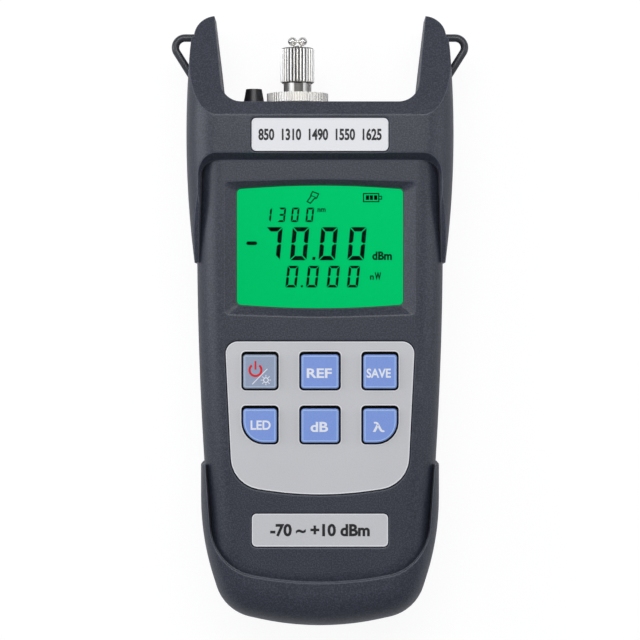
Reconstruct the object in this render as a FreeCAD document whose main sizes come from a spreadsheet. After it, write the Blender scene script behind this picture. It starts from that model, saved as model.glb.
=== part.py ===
import FreeCAD, Part
import math
import os

import Sketcher
from FreeCAD import Placement, Rotation, Vector

# Hand-held optical power meter, lying on its back.
# X runs across the meter, +Y to the fibre port's end, +Z out of the display. Millimetres.
# The origin is at the middle of the outline, on the plane that the back rests on.

os.makedirs("parts", exist_ok=True)
doc = FreeCAD.newDocument("OpticalPowerMeter")

# Driving dimensions: name, value, meaning.
SIZES = [
    ("meter_length", 175, "horn tips to the end of the boot"),
    ("parting_height", 16, "where the two halves of the housing meet"),
    ("wall", 2.4, "housing wall"),
    ("stretch", "=meter_length / 175", "length over the measured one, for places along the meter"),
    ("spread", "=screen_width / 47.6", "display's width over the measured one, for places across"),
    ("core_front", 30, "front of the core"),
    ("core_rear", 0.4, "rear of the core"),
    ("core_half_width", "=35.25 * spread", "core at its widest"),
    ("core_widest", "=26 * stretch", "height of that width"),
    ("core_bow", 1060, "curve of the core's sides"),
    ("core_foot", "=-76.1 * stretch", "lower corners of the core, inside the boot"),
    ("core_foot_round", 15, "round of these corners"),
    ("core_point", "=-81.4 * stretch", "point of the core's lower end"),
    ("core_end_round", 100, "curve of that end"),
    ("core_round", 8, "front shoulders of the core"),
    ("rear_round", 6, "rear shoulders"),
    ("head_front", 33, "front of the head"),
    ("head_half_width", "=38.2 * spread", "head at its widest"),
    ("head_widest", "=53 * stretch", "height of that width"),
    ("head_bow", 290, "curve of the head's sides"),
    ("head_round", 9, "front shoulders of the head"),
    ("head_edge", "=45.3 * stretch", "lower edge of the head, above the display"),
    ("wing_end", "=16.4 * stretch", "lower end of the head's wings"),
    ("wing_inside", "=34.7 * spread", "inner side of a wing at its lower end"),
    ("wing_root", "=33.8 * spread", "inner side of a wing at the head's edge"),
    ("wing_corner", 4.5, "corner between a wing and the head's edge"),
    ("wing_low", 26, "front of a wing at its lower end"),
    ("step_slope", 2.0, "width of the sloped step round the core"),
    ("shelf", "=61.9 * stretch", "end face between the horns"),
    ("gap_root", "=27.6 * spread", "half of the gap between the horns, at the shelf"),
    ("gap_tip", "=30.4 * spread", "half of the gap at the tips"),
    ("gap_corner", 6, "corner between a horn and the shelf"),
    ("slope_start", "=58 * stretch", "where the slanted face of the horns begins"),
    ("tip_height", 19.2, "front of the horns at their tips"),
    ("tip_rear", 5, "rear of the horns at their tips"),
    ("rear_slope_start", "=72 * stretch", "where the horns' rear face begins to slant"),
    ("tip_round", 6.3, "outer corner of a horn's tip"),
    ("boot_front", 31.4, "front of the boot"),
    ("boot_start", "=-41.2 * stretch", "upper end of the boot"),
    ("boot_half_width", "=34.1 * spread", "boot at its widest"),
    ("boot_bend", "=-62 * stretch", "where the boot's sides turn inward"),
    ("boot_side_round", 75, "curve of that turn"),
    ("boot_foot_width", "=27.4 * spread", "half width at the boot's lower corners"),
    ("boot_foot_rise", 4.2, "lower corners above the end"),
    ("boot_foot_round", 13, "round of the lower corners"),
    ("boot_end_drop", 1.8, "point of the end's outline below its curve"),
    ("boot_end_round", 80, "curve of the end"),
    ("boot_round", 9, "front shoulders of the boot"),
    ("lip_start", "=-38 * stretch", "upper end of the boot's lip"),
    ("lip_top", "=32.9 * spread", "half width of the lip's opening at its upper end"),
    ("lip_foot", "=30.5 * spread", "half width at its lower corners"),
    ("lip_corner", "=-70.7 * stretch", "lower corners of the opening"),
    ("lip_point", "=-76 * stretch", "point of the opening's lower edge"),
    ("lip_corner_round", 15, "round of the lip's lower corners"),
    ("lip_end_round", 100, "curve of the lip's lower edge"),
    ("screen_middle", "=20.8 * stretch", "middle of the display opening"),
    ("screen_width", 47.6, "display opening"),
    ("screen_height", "=33.2 * stretch", "display opening at its corners"),
    ("screen_rise", 1.6, "points of its curved upper and lower edges"),
    ("screen_round", 1.4, "corners of the display opening"),
    ("screen_edge_round", 250, "curve of its upper and lower edges"),
    ("bevel_top", 1.9, "bevel above the opening"),
    ("bevel_bottom", 2.7, "bevel below the opening"),
    ("bevel_side", 3.3, "bevel beside the opening"),
    ("bevel_depth", 1.6, "depth of the bevel"),
    ("lens_border", 1.6, "window behind its opening"),
    ("lens_thickness", 1.2, "window"),
    ("lens_gap", 0.3, "air between window and display"),
    ("glass_thickness", 2.0, "display glass"),
    ("glass_border", 1.2, "display glass behind the opening"),
    ("frame_wall", 2.0, "display frame"),
    ("frame_lip", 0.5, "frame below the front of the glass"),
    ("fit_gap", 0.15, "play of a placed piece"),
    ("keypad_top", "=-6.1 * stretch", "upper edge of the keypad plate"),
    ("keypad_top_half", "=26.9 * spread", "half width at its upper edge"),
    ("keypad_foot", "=-46.8 * stretch", "lower corners of the plate"),
    ("keypad_foot_half", "=24.9 * spread", "half width at its lower corners"),
    ("keypad_point", "=-50.6 * stretch", "point of the plate's lower edge"),
    ("keypad_corner", 3.4, "upper corners of the plate"),
    ("keypad_foot_round", 9.2, "lower corners of the plate"),
    ("keypad_end_round", 100, "curve of the plate's lower edge"),
    ("keypad_recess", 1.2, "depth of the plate's recess"),
    ("keypad_thickness", 1.4, "keypad plate"),
    ("plate_gap", 0.35, "gap round a plate in its recess"),
    ("key_pitch_across", "=17 * spread", "columns of keys"),
    ("key_upper_row", "=-14.6 * stretch", "upper row"),
    ("key_lower_row", "=-29.9 * stretch", "lower row"),
    ("key_width", "=9.9 * spread", "keys of the outer columns"),
    ("key_width_middle", "=11.1 * spread", "keys of the middle column"),
    ("key_height", "=10.05 * stretch", "all keys"),
    ("key_corner", 0.9, "corners of a key"),
    ("key_big_corner", 6, "outer lower corner of two keys"),
    ("key_gap", 0.35, "gap round a key in the plate"),
    ("key_gap_upper", 0.3, "more gap above a key, so that it can tilt"),
    ("key_top", 31.6, "front of the keys"),
    ("key_taper", 0.2, "a key's sides lean in by this much"),
    ("key_crown", 0.5, "round of a key's front edge"),
    ("key_flange", 1.0, "flange behind the wall, width and thickness"),
    ("key_plunger", 5.6, "square plunger"),
    ("key_travel", 0.8, "travel of a key"),
    ("key_end_gap", 0.1, "left over at both ends of the travel"),
    ("mat_thickness", 0.9, "keypad mat"),
    ("mat_half_width", "=25 * spread", "keypad mat"),
    ("mat_top", "=-6 * stretch", "upper edge of the mat"),
    ("mat_foot", "=-39 * stretch", "lower edge of the mat"),
    ("well_wall", 1, "wall of a well in the mat"),
    ("well_rise", 2.5, "height of a well"),
    ("well_gap", 0.4, "gap round a plunger"),
    ("board_top", 21, "front face of the main board"),
    ("board_thickness", 1.6, "main board"),
    ("board_half_width", "=29.2 * spread", "main board"),
    ("board_upper", "=48.5 * stretch", "upper edge of the board"),
    ("board_lower", "=-46 * stretch", "lower edge of the board"),
    ("board_screw_across", "=27.2 * spread", "board screws from the middle"),
    ("board_screw_upper", "=45.5 * stretch", "upper board screws"),
    ("board_screw_lower", "=-42.5 * stretch", "lower board screws"),
    ("chip_side", 12, "processor"),
    ("chip_thickness", 1.4, "processor"),
    ("plate_width", 38.6, "nameplates"),
    ("plate_height", 9.3, "nameplates"),
    ("plate_corner", 1.3, "corners of a nameplate"),
    ("plate_thickness", 0.8, "nameplates"),
    ("plate_recess", 0.9, "depth of a nameplate's recess"),
    ("top_plate_middle", "=52.4 * stretch", "top nameplate"),
    ("bottom_plate_middle", "=-59.6 * stretch", "bottom nameplate"),
    ("screw_core", 1.25, "radius of a case screw's shank"),
    ("screw_head", 2.8, "radius of a case screw's head"),
    ("screw_head_thickness", 2, "case screw's head"),
    ("screw_seat", 9, "seat of a case screw's head"),
    ("screw_bite", 6, "case screw in the front boss"),
    ("screw_play", 0.1, "hole round a screw, per side"),
    ("boss_wall", 2, "wall of a boss"),
    ("screw_upper_across", "=26.5 * spread", "upper case screws"),
    ("screw_upper", "=53.6 * stretch", "upper case screws"),
    ("screw_lower_across", "=15 * spread", "lower case screws"),
    ("screw_lower", "=12.5 - meter_length / 2", "lower case screws"),
    ("small_core", 0.9, "radius of a board screw's shank"),
    ("small_head", 2.1, "radius of a board screw's head"),
    ("small_head_thickness", 1.3, "board screw's head"),
    ("small_bite", 4, "board screw in its boss"),
    ("battery_radius", 7.2, "AA cell"),
    ("battery_length", 49.2, "AA cell without its button"),
    ("button_radius", 2.75, "button of a cell"),
    ("button_length", 1.3, "button of a cell"),
    ("battery_pitch", 14.8, "cells side by side"),
    ("battery_play", 0.2, "play round the cells"),
    ("bay_top", "=78 - meter_length / 2", "upper end of the battery bay"),
    ("spring_length", 5, "room for the contact springs"),
    ("contact_thickness", 0.4, "battery contacts"),
    ("contact_width", 9, "battery contacts"),
    ("bay_wall", 1.2, "wall of the battery bay"),
    ("door_thickness", 2.2, "battery door"),
    ("door_overlap", 1.0, "door beyond the bay's opening"),
    ("door_play", 0.12, "play of the sliding door"),
    ("tongue_reach", 1.4, "tongue on the door's side"),
    ("tongue_thickness", 1.0, "tongue on the door's side"),
    ("tongue_depth", 1.0, "tongue inward of the door's outer face"),
    ("rail_height", 1.8, "rail above the door"),
    ("grip_count", 5, "grip grooves of the door"),
    ("grip_pitch", 2.4, "grip grooves"),
    ("grip_width", 22, "grip grooves"),
    ("port_across", "=-6.5 * spread", "fibre port from the middle"),
    ("port_radius", 4.5, "threaded stub"),
    ("port_reach", 2.6, "stub outside the end wall"),
    ("port_flange", 6.4, "radius of the stub's flange"),
    ("port_flange_thickness", 0.7, "flange of the stub"),
    ("nut_thickness", 2.4, "nut of the port"),
    ("nut_across", 12, "nut across its flats"),
    ("holder_radius", 2.25, "tube that holds the sleeve"),
    ("holder_depth", 3, "that tube inside the stub"),
    ("sleeve_radius", 1.6, "ferrule sleeve"),
    ("ferrule_bore", 1.255, "radius of the sleeve's bore"),
    ("disc_radius", 8.85, "knurled disc of the adapter"),
    ("disc_top", 3.4, "front of the disc from the end wall"),
    ("disc_teeth", 72, "knurl of the disc"),
    ("disc_tooth_depth", 0.22, "knurl of the disc"),
    ("barrel_radius", 4, "barrel of the adapter"),
    ("barrel_bore", 3.1, "bore of the barrel"),
    ("barrel_top", 14.4, "end of the barrel from the end wall"),
    ("barrel_floor", 5.2, "floor of the barrel from the end wall"),
    ("slot_width", 2.1, "key slot of the barrel"),
    ("slot_length", 5, "key slot of the barrel"),
    ("cap_radius", 4.95, "dust cap"),
    ("cap_bore", 4.15, "bore of the dust cap"),
    ("cap_start", 6.4, "rim of the cap from the end wall"),
    ("cap_length", 10.2, "dust cap"),
    ("cap_roof", 1.4, "closed end of the cap"),
    ("cap_teeth", 30, "knurl of the cap"),
    ("cap_tooth_depth", 0.5, "knurl of the cap"),
    ("cap_bevel", 0.55, "bevel of the cap's ends"),
    ("rivet_radius", 1.7, "rivet on the cap"),
    ("rivet_thickness", 0.7, "rivet on the cap"),
    ("bead_radius", 1.3, "bead of the chain's end"),
    ("link_radius", 0.35, "wire between the beads"),
    ("diode_radius", 2.35, "detector can"),
    ("diode_length", 3.4, "detector can"),
    ("diode_rim", 2.75, "rim of the detector can"),
    ("diode_rim_thickness", 0.8, "rim of the detector can"),
    ("detector_board_thickness", 1.2, "detector board"),
    ("detector_board_side", 13, "detector board"),
    ("torch_across", "=-19.1 * spread", "torch from the middle"),
    ("torch_base", 3.15, "radius of the torch cone at the wall"),
    ("torch_top", 2.3, "radius of the torch cone at its end"),
    ("torch_reach", 4.75, "torch cone outside the wall"),
    ("torch_stem", 2.5, "radius of its stem in the wall"),
    ("torch_tail", 1.6, "stem behind the wall"),
    ("led_radius", 1.5, "torch lamp"),
    ("led_setback", 0.9, "lamp behind the cone's end"),
    ("loop_bar", 1.1, "radius of a loop's bar"),
    ("loop_upper", "=81.5 * stretch", "upper arm of a loop"),
    ("loop_root", "=35 * spread", "end of the upper arm, in the horn"),
    ("loop_corner", "=44 * spread", "outer corner of a loop"),
    ("loop_round", 2.75, "round of that corner"),
    ("loop_lower_root", "=35.2 * spread", "end of the lower arm, across"),
    ("loop_lower", "=67.5 * stretch", "end of the lower arm, along"),
    ("loop_play", 0.05, "play of a loop in its seat"),
]


class Size:
    """A number together with the sheet expression that gives it."""

    def __init__(self, number, text):
        self.number = float(number)
        self.text = text

    def __float__(self):
        return self.number

    def __neg__(self):
        return Size(-self.number, f"(0 - {self.text})")

    def __add__(self, other):
        other = size(other)
        return Size(self.number + other.number, f"({self.text} + {other.text})")

    def __sub__(self, other):
        other = size(other)
        return Size(self.number - other.number, f"({self.text} - {other.text})")

    def __mul__(self, other):
        other = size(other)
        return Size(self.number * other.number, f"({self.text} * {other.text})")

    def __truediv__(self, other):
        other = size(other)
        return Size(self.number / other.number, f"({self.text} / {other.text})")

    def __radd__(self, other):
        return size(other) + self

    def __rsub__(self, other):
        return size(other) - self

    def __rmul__(self, other):
        return size(other) * self


def size(value):
    """Any number as a Size."""
    if isinstance(value, Size):
        return value
    return Size(value, f"({float(value)!r})")


def root(value):
    return Size(math.sqrt(value.number), f"sqrt({value.text})")


def slope_angle(rise, run):
    ratio = rise / run
    return Size(math.degrees(math.atan(ratio.number)), f"atan({ratio.text})")


class Sheet:
    """The driving dimensions, each an attribute. A text is a formula on the others."""

    def __init__(self, rows):
        self.table = doc.addObject("Spreadsheet::Sheet", "Sizes")
        for row, (name, value, meaning) in enumerate(rows, 1):
            self.table.set(f"A{row}", name)
            self.table.set(f"C{row}", meaning)
            self.table.setAlias(f"B{row}", name)
        for row, (name, value, meaning) in enumerate(rows, 1):
            self.table.set(f"B{row}", str(value))
        doc.recompute()
        for name, value, meaning in rows:
            setattr(self, name, Size(self.table.get(name), f"Sizes.{name}"))


s = Sheet(SIZES)


def bind(item, prop, value):
    """Ties a property to the sheet."""
    item.setExpression(prop, size(value).text)


def place(item, x=0, y=0, z=0, rotation=None):
    """Puts a finished item in its place on the meter."""
    item.Placement = Placement(Vector(float(x), float(y), float(z)), rotation or Rotation())
    bind(item, "Placement.Base.x", x)
    bind(item, "Placement.Base.y", y)
    bind(item, "Placement.Base.z", z)
    return item


def named(item, label):
    item.Label = label
    return item


# Sketches

def new_sketch(body, name, plane="XY_Plane", offset=0):
    """A sketch on one of the body's own planes, moved along its normal."""
    support = next(f for f in body.Origin.OriginFeatures if f.Role == plane)
    sketch = body.newObject("Sketcher::SketchObject", name)
    sketch.AttachmentSupport = [(support, "")]
    sketch.MapMode = "FlatFace"
    bind(sketch, "AttachmentOffset.Base.z", offset)
    return sketch


def corner(x, y, round=None, bow=None):
    """A corner of an outline. bow is the radius of the side that leaves it."""
    return (size(x), size(y), round, bow)


def bowed_side(start, end, radius):
    """An arc between two points that bulges to the right of its run, or to the left if negative."""
    chord = end - start
    middle = (start + end) * 0.5
    left = Vector(-chord.y, chord.x, 0).normalize()
    reach = math.sqrt(radius * radius - (chord.Length / 2) ** 2)
    centre = middle + left * math.copysign(reach, radius)
    first, last = (start, end) if radius > 0 else (end, start)
    angles = [math.atan2(point.y - centre.y, point.x - centre.x) for point in (first, last)]
    if angles[1] < angles[0]:
        angles[1] += 2 * math.pi
    circle = Part.Circle(centre, Vector(0, 0, 1), abs(radius))
    return Part.ArcOfCircle(circle, angles[0], angles[1])


def outline(sketch, corners):
    """Draws a closed outline through the corners and ties it to the sheet."""
    points = [Vector(float(x), float(y), 0) for x, y, _, _ in corners]
    first = sketch.GeometryCount
    count = len(corners)
    ends = []
    for index, (_, _, _, bow) in enumerate(corners):
        start, end = points[index], points[(index + 1) % count]
        if bow is None:
            sketch.addGeometry(Part.LineSegment(start, end))
        else:
            sketch.addGeometry(bowed_side(start, end, float(bow)))
        ends.append((2, 1) if bow is not None and float(bow) < 0 else (1, 2))
    ties = []
    for index, (x, y, _, bow) in enumerate(corners):
        side, following = first + index, first + (index + 1) % count
        sketch.addConstraint(Sketcher.Constraint("Coincident", side, ends[index][1],
                                                 following, ends[(index + 1) % count][0]))
        for kind, value in (("DistanceX", x), ("DistanceY", y)):
            place_tie = Sketcher.Constraint(kind, side, ends[index][0], value.number)
            ties.append(name_tie(sketch, place_tie, value))
        if bow is not None:
            radius = size(bow) if float(bow) > 0 else -size(bow)
            ties.append(name_tie(sketch, Sketcher.Constraint("Radius", side, radius.number), radius))
    for index, (_, _, radius, _) in enumerate(corners):
        if radius is not None:
            arc = sketch.GeometryCount
            sketch.fillet(first + index, ends[index][0], float(radius), True, True)
            ties.append(name_tie(sketch, Sketcher.Constraint("Radius", arc, float(radius)), radius))
    for name, value in ties:
        sketch.setExpression(f"Constraints.{name}", value.text)


def name_tie(sketch, constraint, value):
    """Adds a constraint with a name of its own and returns it with its size."""
    index = sketch.addConstraint(constraint)
    name = f"{constraint.Type}_{sketch.ConstraintCount}_{sketch.GeometryCount}"
    sketch.renameConstraint(index, name)
    return name, size(value)


def circle(sketch, x, y, radius):
    index = sketch.addGeometry(Part.Circle(Vector(float(x), float(y), 0), Vector(0, 0, 1), float(radius)))
    for constraint, value in (
        (Sketcher.Constraint("DistanceX", index, 3, float(x)), x),
        (Sketcher.Constraint("DistanceY", index, 3, float(y)), y),
        (Sketcher.Constraint("Radius", index, float(radius)), radius),
    ):
        name, tied = name_tie(sketch, constraint, value)
        sketch.setExpression(f"Constraints.{name}", tied.text)


def panel(sketch, x, y, width, height, rounds=None):
    """A rectangle about its middle. rounds is one radius, or four from the lower left round."""
    if not isinstance(rounds, (list, tuple)):
        rounds = [rounds] * 4
    half_width, half_height = size(width) / 2, size(height) / 2
    x, y = size(x), size(y)
    outline(sketch, [
        corner(x - half_width, y - half_height, rounds[0]),
        corner(x + half_width, y - half_height, rounds[1]),
        corner(x + half_width, y + half_height, rounds[2]),
        corner(x - half_width, y + half_height, rounds[3]),
    ])


# Features

def new_body(label):
    body = doc.addObject("PartDesign::Body", "Body_" + label)
    body.Label = label
    return body


def extrude(body, kind, name, sketch, length, reverse=False, both=False, taper=None):
    feature = body.newObject(kind, name)
    feature.Profile = sketch
    bind(feature, "Length", length)
    feature.Reversed = reverse
    feature.Midplane = both
    if taper is not None:
        bind(feature, "TaperAngle", taper)
    return feature


def pad(body, name, sketch, length, **options):
    return extrude(body, "PartDesign::Pad", name, sketch, length, **options)


def pocket(body, name, sketch, length, **options):
    return extrude(body, "PartDesign::Pocket", name, sketch, length, **options)


def revolve(body, name, sketch, axis="V_Axis", kind="PartDesign::Revolution"):
    feature = body.newObject(kind, name)
    feature.Profile = sketch
    feature.ReferenceAxis = (sketch, [axis])
    feature.Angle = 360
    return feature


def edges_of(feature, choose):
    return [f"Edge{number}" for number, edge in enumerate(feature.Shape.Edges, 1) if choose(edge)]


def dress(body, kind, name, prop, value, choose):
    """A fillet or chamfer on the edges of the body's last feature that choose picks."""
    doc.recompute()
    base = body.Tip
    feature = body.newObject(kind, name)
    feature.Base = (base, edges_of(base, choose))
    bind(feature, prop, value)
    return feature


def fillet(body, name, radius, choose):
    return dress(body, "PartDesign::Fillet", name, "Radius", radius, choose)


def level(edge, height):
    """True for an edge that lies flat at this height."""
    return all(abs(v.Z - float(height)) < 1e-4 for v in edge.Vertexes) and abs(
        edge.BoundBox.ZLength) < 1e-4


def joined(kind, name, parts):
    """A Part boolean of several shapes."""
    item = doc.addObject(kind, name)
    item.Shapes = parts
    return item


def cut(name, base, tool):
    item = doc.addObject("Part::Cut", name)
    item.Base = base
    item.Tool = tool
    return item


def mirrored(label, source):
    """The copy of a piece on the other side of the meter."""
    item = doc.addObject("Part::Mirroring", "Mirror_" + label)
    item.Source = source
    item.Base = Vector(0, 0, 0)
    item.Normal = Vector(1, 0, 0)
    item.Label = label
    return item


def bowed_half_width(half_width, widest, bow, along):
    """Half width of a bowed side at a place along the meter."""
    away = along - widest
    return half_width - bow + root(bow * bow - away * away)


OUTSIDE = 5.0
LEDGE = 0.05
END_ROTATION = Rotation(Vector(1, 0, 0), -90)
ACROSS_ROTATION = Rotation(Vector(0, 1, 0), 90)


# Outer form of the housing

def core_form():
    """The slim middle, with its shoulders."""
    body = new_body("core_form")
    sketch = new_sketch(body, "CoreOutline", offset=s.core_rear)
    upper = s.shelf - s.wall
    top = bowed_half_width(s.core_half_width, s.core_widest, s.core_bow, upper)
    bend = bowed_half_width(s.core_half_width, s.core_widest, s.core_bow, s.boot_bend)
    away = s.core_widest - s.boot_bend
    lean = away / root(s.core_bow * s.core_bow - away * away)
    foot = bend - (s.boot_bend - s.core_foot) * lean
    outline(sketch, [
        corner(bend, s.boot_bend, bow=s.core_bow),
        corner(top, upper),
        corner(-top, upper, bow=s.core_bow),
        corner(-bend, s.boot_bend),
        corner(-foot, s.core_foot, s.core_foot_round),
        corner(0, s.core_point, s.core_end_round),
        corner(foot, s.core_foot, s.core_foot_round),
    ])
    pad(body, "Core", sketch, s.core_front - s.core_rear)
    long_side = float(s.shelf - s.core_foot) / 2
    fillet(body, "CoreShoulders", s.core_round,
           lambda e: level(e, s.core_front) and e.BoundBox.YLength > long_side)
    fillet(body, "CoreRearShoulders", s.rear_round,
           lambda e: level(e, s.core_rear) and e.BoundBox.YLength > long_side)
    return body


def wing_opening(sketch, grow):
    """The opening of the head that the core shows through."""
    below = s.wing_end - OUTSIDE
    outline(sketch, [
        corner(-(s.wing_inside + grow), below),
        corner(s.wing_inside + grow, below),
        corner(s.wing_root + grow, s.head_edge + grow, s.wing_corner + grow),
        corner(-(s.wing_root + grow), s.head_edge + grow, s.wing_corner + grow),
    ])


def head_form():
    """The upper guard: head, horns and wings."""
    body = new_body("head_form")
    reach = s.meter_length / 2
    tip = bowed_half_width(s.head_half_width, s.head_widest, s.head_bow, reach)
    foot = bowed_half_width(s.head_half_width, s.head_widest, s.head_bow, s.wing_end)
    sketch = new_sketch(body, "HeadOutline")
    outline(sketch, [
        corner(foot, s.wing_end, bow=s.head_bow),
        corner(tip, reach),
        corner(-tip, reach, bow=s.head_bow),
        corner(-foot, s.wing_end),
    ])
    pad(body, "Head", sketch, s.head_front)
    long_side = float(reach - s.wing_end) / 2
    fillet(body, "HeadShoulders", s.head_round,
           lambda e: level(e, s.head_front) and e.BoundBox.YLength > long_side)
    fillet(body, "HeadRearShoulders", s.rear_round,
           lambda e: level(e, 0) and e.BoundBox.YLength > long_side)

    opening = new_sketch(body, "WingOpening", offset=s.head_front + OUTSIDE)
    wing_opening(opening, 0)
    pocket(body, "BetweenWings", opening, s.head_front + 2 * OUTSIDE)
    flare = new_sketch(body, "StepOutline", offset=s.core_front)
    wing_opening(flare, LEDGE)
    step = s.head_front - s.core_front
    pocket(body, "SlopedStep", flare, step + LEDGE, reverse=True,
           taper=slope_angle(s.step_slope, step))

    slant = new_sketch(body, "HornSlants", "YZ_Plane")
    far = reach + OUTSIDE
    front_fall = (s.head_front - s.tip_height) / (reach - s.slope_start)
    rear_rise = s.tip_rear / (reach - s.rear_slope_start)
    outline(slant, [
        corner(s.slope_start, s.head_front),
        corner(far, s.tip_height - front_fall * OUTSIDE),
        corner(far, s.head_front + OUTSIDE),
        corner(s.slope_start, s.head_front + OUTSIDE),
    ])
    outline(slant, [
        corner(s.rear_slope_start, -OUTSIDE),
        corner(far, -OUTSIDE),
        corner(far, s.tip_rear + rear_rise * OUTSIDE),
        corner(s.rear_slope_start, 0),
    ])
    across = (s.head_half_width + OUTSIDE) * 2
    pocket(body, "SlantedHorns", slant, across, both=True)

    wings = new_sketch(body, "WingSlope", "YZ_Plane")
    outline(wings, [
        corner(s.wing_end - OUTSIDE, s.wing_low),
        corner(s.wing_end, s.wing_low),
        corner(s.head_edge, s.head_front),
        corner(s.wing_end - OUTSIDE, s.head_front),
    ])
    pocket(body, "LowerWings", wings, across, both=True)

    gap = new_sketch(body, "HornGap", offset=s.head_front + OUTSIDE)
    widening = (s.gap_tip - s.gap_root) / (reach - s.shelf)
    outline(gap, [
        corner(-s.gap_root, s.shelf, s.gap_corner),
        corner(s.gap_root, s.shelf, s.gap_corner),
        corner(s.gap_tip + widening * OUTSIDE, far),
        corner(-(s.gap_tip + widening * OUTSIDE), far),
    ])
    pocket(body, "BetweenHorns", gap, s.head_front + 2 * OUTSIDE)

    tips = new_sketch(body, "TipCorners", offset=s.head_front + OUTSIDE)
    for side in (1, -1):
        tip_corner(tips, side, tip, reach)
    pocket(body, "RoundedTips", tips, s.head_front + 2 * OUTSIDE)
    return body


def tip_corner(sketch, side, tip, reach):
    """What the outer corner of one horn loses to its round."""
    inner, outer = tip - s.tip_round, tip + OUTSIDE
    below, above = reach - s.tip_round, reach + OUTSIDE
    points = [
        corner(inner * side, reach, bow=s.tip_round * -side),
        corner(tip * side, below),
        corner(outer * side, below),
        corner(outer * side, above),
        corner(inner * side, above),
    ]
    outline(sketch, points)


def boot_outline(sketch, grow):
    """The boot seen from the front, or a line parallel to it if grow isn't 0."""
    end = -s.meter_length / 2
    side_round = s.boot_side_round * (1 if grow == 0 else 0.5)
    half_width = s.boot_half_width + grow
    foot = s.boot_foot_width + grow
    outline(sketch, [
        corner(half_width, s.boot_start),
        corner(-half_width, s.boot_start),
        corner(-half_width, s.boot_bend, side_round),
        corner(-foot, end + s.boot_foot_rise - grow, s.boot_foot_round + grow),
        corner(0, end - s.boot_end_drop - grow, s.boot_end_round + grow),
        corner(foot, end + s.boot_foot_rise - grow, s.boot_foot_round + grow),
        corner(half_width, s.boot_bend, side_round),
    ])


def boot_form():
    """The lower guard."""
    body = new_body("boot_form")
    sketch = new_sketch(body, "BootOutline")
    boot_outline(sketch, 0)
    pad(body, "Boot", sketch, s.boot_front)

    def rim(edge, height):
        return level(edge, height) and edge.BoundBox.YMin < float(s.boot_start) - 0.01

    fillet(body, "BootShoulders", s.boot_round, lambda e: rim(e, s.boot_front))
    fillet(body, "BootRearShoulders", s.rear_round, lambda e: rim(e, 0))
    opening = new_sketch(body, "LipOpening", offset=s.boot_front + OUTSIDE)
    outline(opening, [
        corner(-s.lip_foot, s.lip_corner, s.lip_corner_round),
        corner(0, s.lip_point, s.lip_end_round),
        corner(s.lip_foot, s.lip_corner, s.lip_corner_round),
        corner(s.lip_top, s.lip_start),
        corner(-s.lip_top, s.lip_start),
    ])
    pocket(body, "InsideLip", opening, s.boot_front + OUTSIDE - s.parting_height)
    return body


core = core_form()
head = head_form()
boot = boot_form()
outer_form = joined("Part::MultiFuse", "OuterForm", [core, head, boot])


# Halves of the housing

def half_block(name, low, high):
    """The part of the outer form between two heights."""
    box = doc.addObject("Part::Box", name + "Box")
    bind(box, "Length", (s.head_half_width + OUTSIDE) * 2)
    bind(box, "Width", s.meter_length + OUTSIDE * 4)
    bind(box, "Height", high - low)
    place(box, -(s.head_half_width + OUTSIDE), -(s.meter_length / 2 + OUTSIDE * 2), low)
    return joined("Part::MultiCommon", name, [outer_form, box])


def room(name, low, high, round_level, radius):
    """The hollow inside one half, parallel to the core's sides and the boot's end."""
    body = new_body(name)
    sketch = new_sketch(body, name + "Outline", offset=low)
    upper = s.shelf - s.wall
    end = -s.meter_length / 2
    top = bowed_half_width(s.core_half_width, s.core_widest, s.core_bow, upper) - s.wall
    bend = bowed_half_width(s.core_half_width, s.core_widest, s.core_bow, s.boot_bend) - s.wall
    belly = s.core_half_width - s.wall
    foot, foot_level = s.boot_foot_width - s.wall, end + s.boot_foot_rise + s.wall
    foot_round = s.boot_foot_round - s.wall
    outline(sketch, [
        corner(top, upper),
        corner(-top, upper),
        corner(-belly, s.core_widest, s.core_bow),
        corner(-bend, s.boot_bend, s.boot_side_round / 2),
        corner(-foot, foot_level, foot_round),
        corner(0, end - s.boot_end_drop + s.wall, s.boot_end_round - s.wall),
        corner(foot, foot_level, foot_round),
        corner(bend, s.boot_bend, s.boot_side_round / 2),
        corner(belly, s.core_widest, s.core_bow),
    ])
    pad(body, name + "Room", sketch, high - low)
    fillet(body, name + "Round", radius,
           lambda e: level(e, round_level) and e.BoundBox.YMin < float(upper) - 0.01)
    return body


def body_on(label, base):
    """A body that starts from a finished form."""
    body = new_body(label)
    body.BaseFeature = base
    doc.recompute()
    return body


def spots(across, along):
    """Both sides of the meter at one place along it."""
    return [(across, along), (-across, along)]


CASE_SCREWS = spots(s.screw_upper_across, s.screw_upper) + spots(s.screw_lower_across, s.screw_lower)
BOARD_SCREWS = (spots(s.board_screw_across, s.board_screw_upper)
                + spots(s.board_screw_across, s.board_screw_lower))


def circles(sketch, places, radius):
    for x, y in places:
        circle(sketch, x, y, radius)


def end_holes(body):
    """Holes of the end wall for the port and the torch, shared by both halves."""
    sketch = new_sketch(body, body.Label + "EndHoles", "XZ_Plane", offset=-(s.shelf - s.wall / 2))
    circle(sketch, s.port_across, s.parting_height, s.port_radius + s.screw_play)
    circle(sketch, s.torch_across, s.parting_height, s.torch_stem + s.screw_play)
    pocket(body, body.Label + "EndWallHoles", sketch, s.wall * 2, both=True)


def screen_outline(sketch, half_width, low, high, rise):
    """The display opening: upper and lower edges curve outward."""
    outline(sketch, [
        corner(-half_width, low, s.screen_round),
        corner(0, low - rise, s.screen_edge_round),
        corner(half_width, low, s.screen_round),
        corner(half_width, high, s.screen_round),
        corner(0, high + rise, s.screen_edge_round),
        corner(-half_width, high, s.screen_round),
    ])


def screen_limits():
    half_height = s.screen_height / 2
    return s.screen_width / 2, s.screen_middle - half_height, s.screen_middle + half_height


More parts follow.
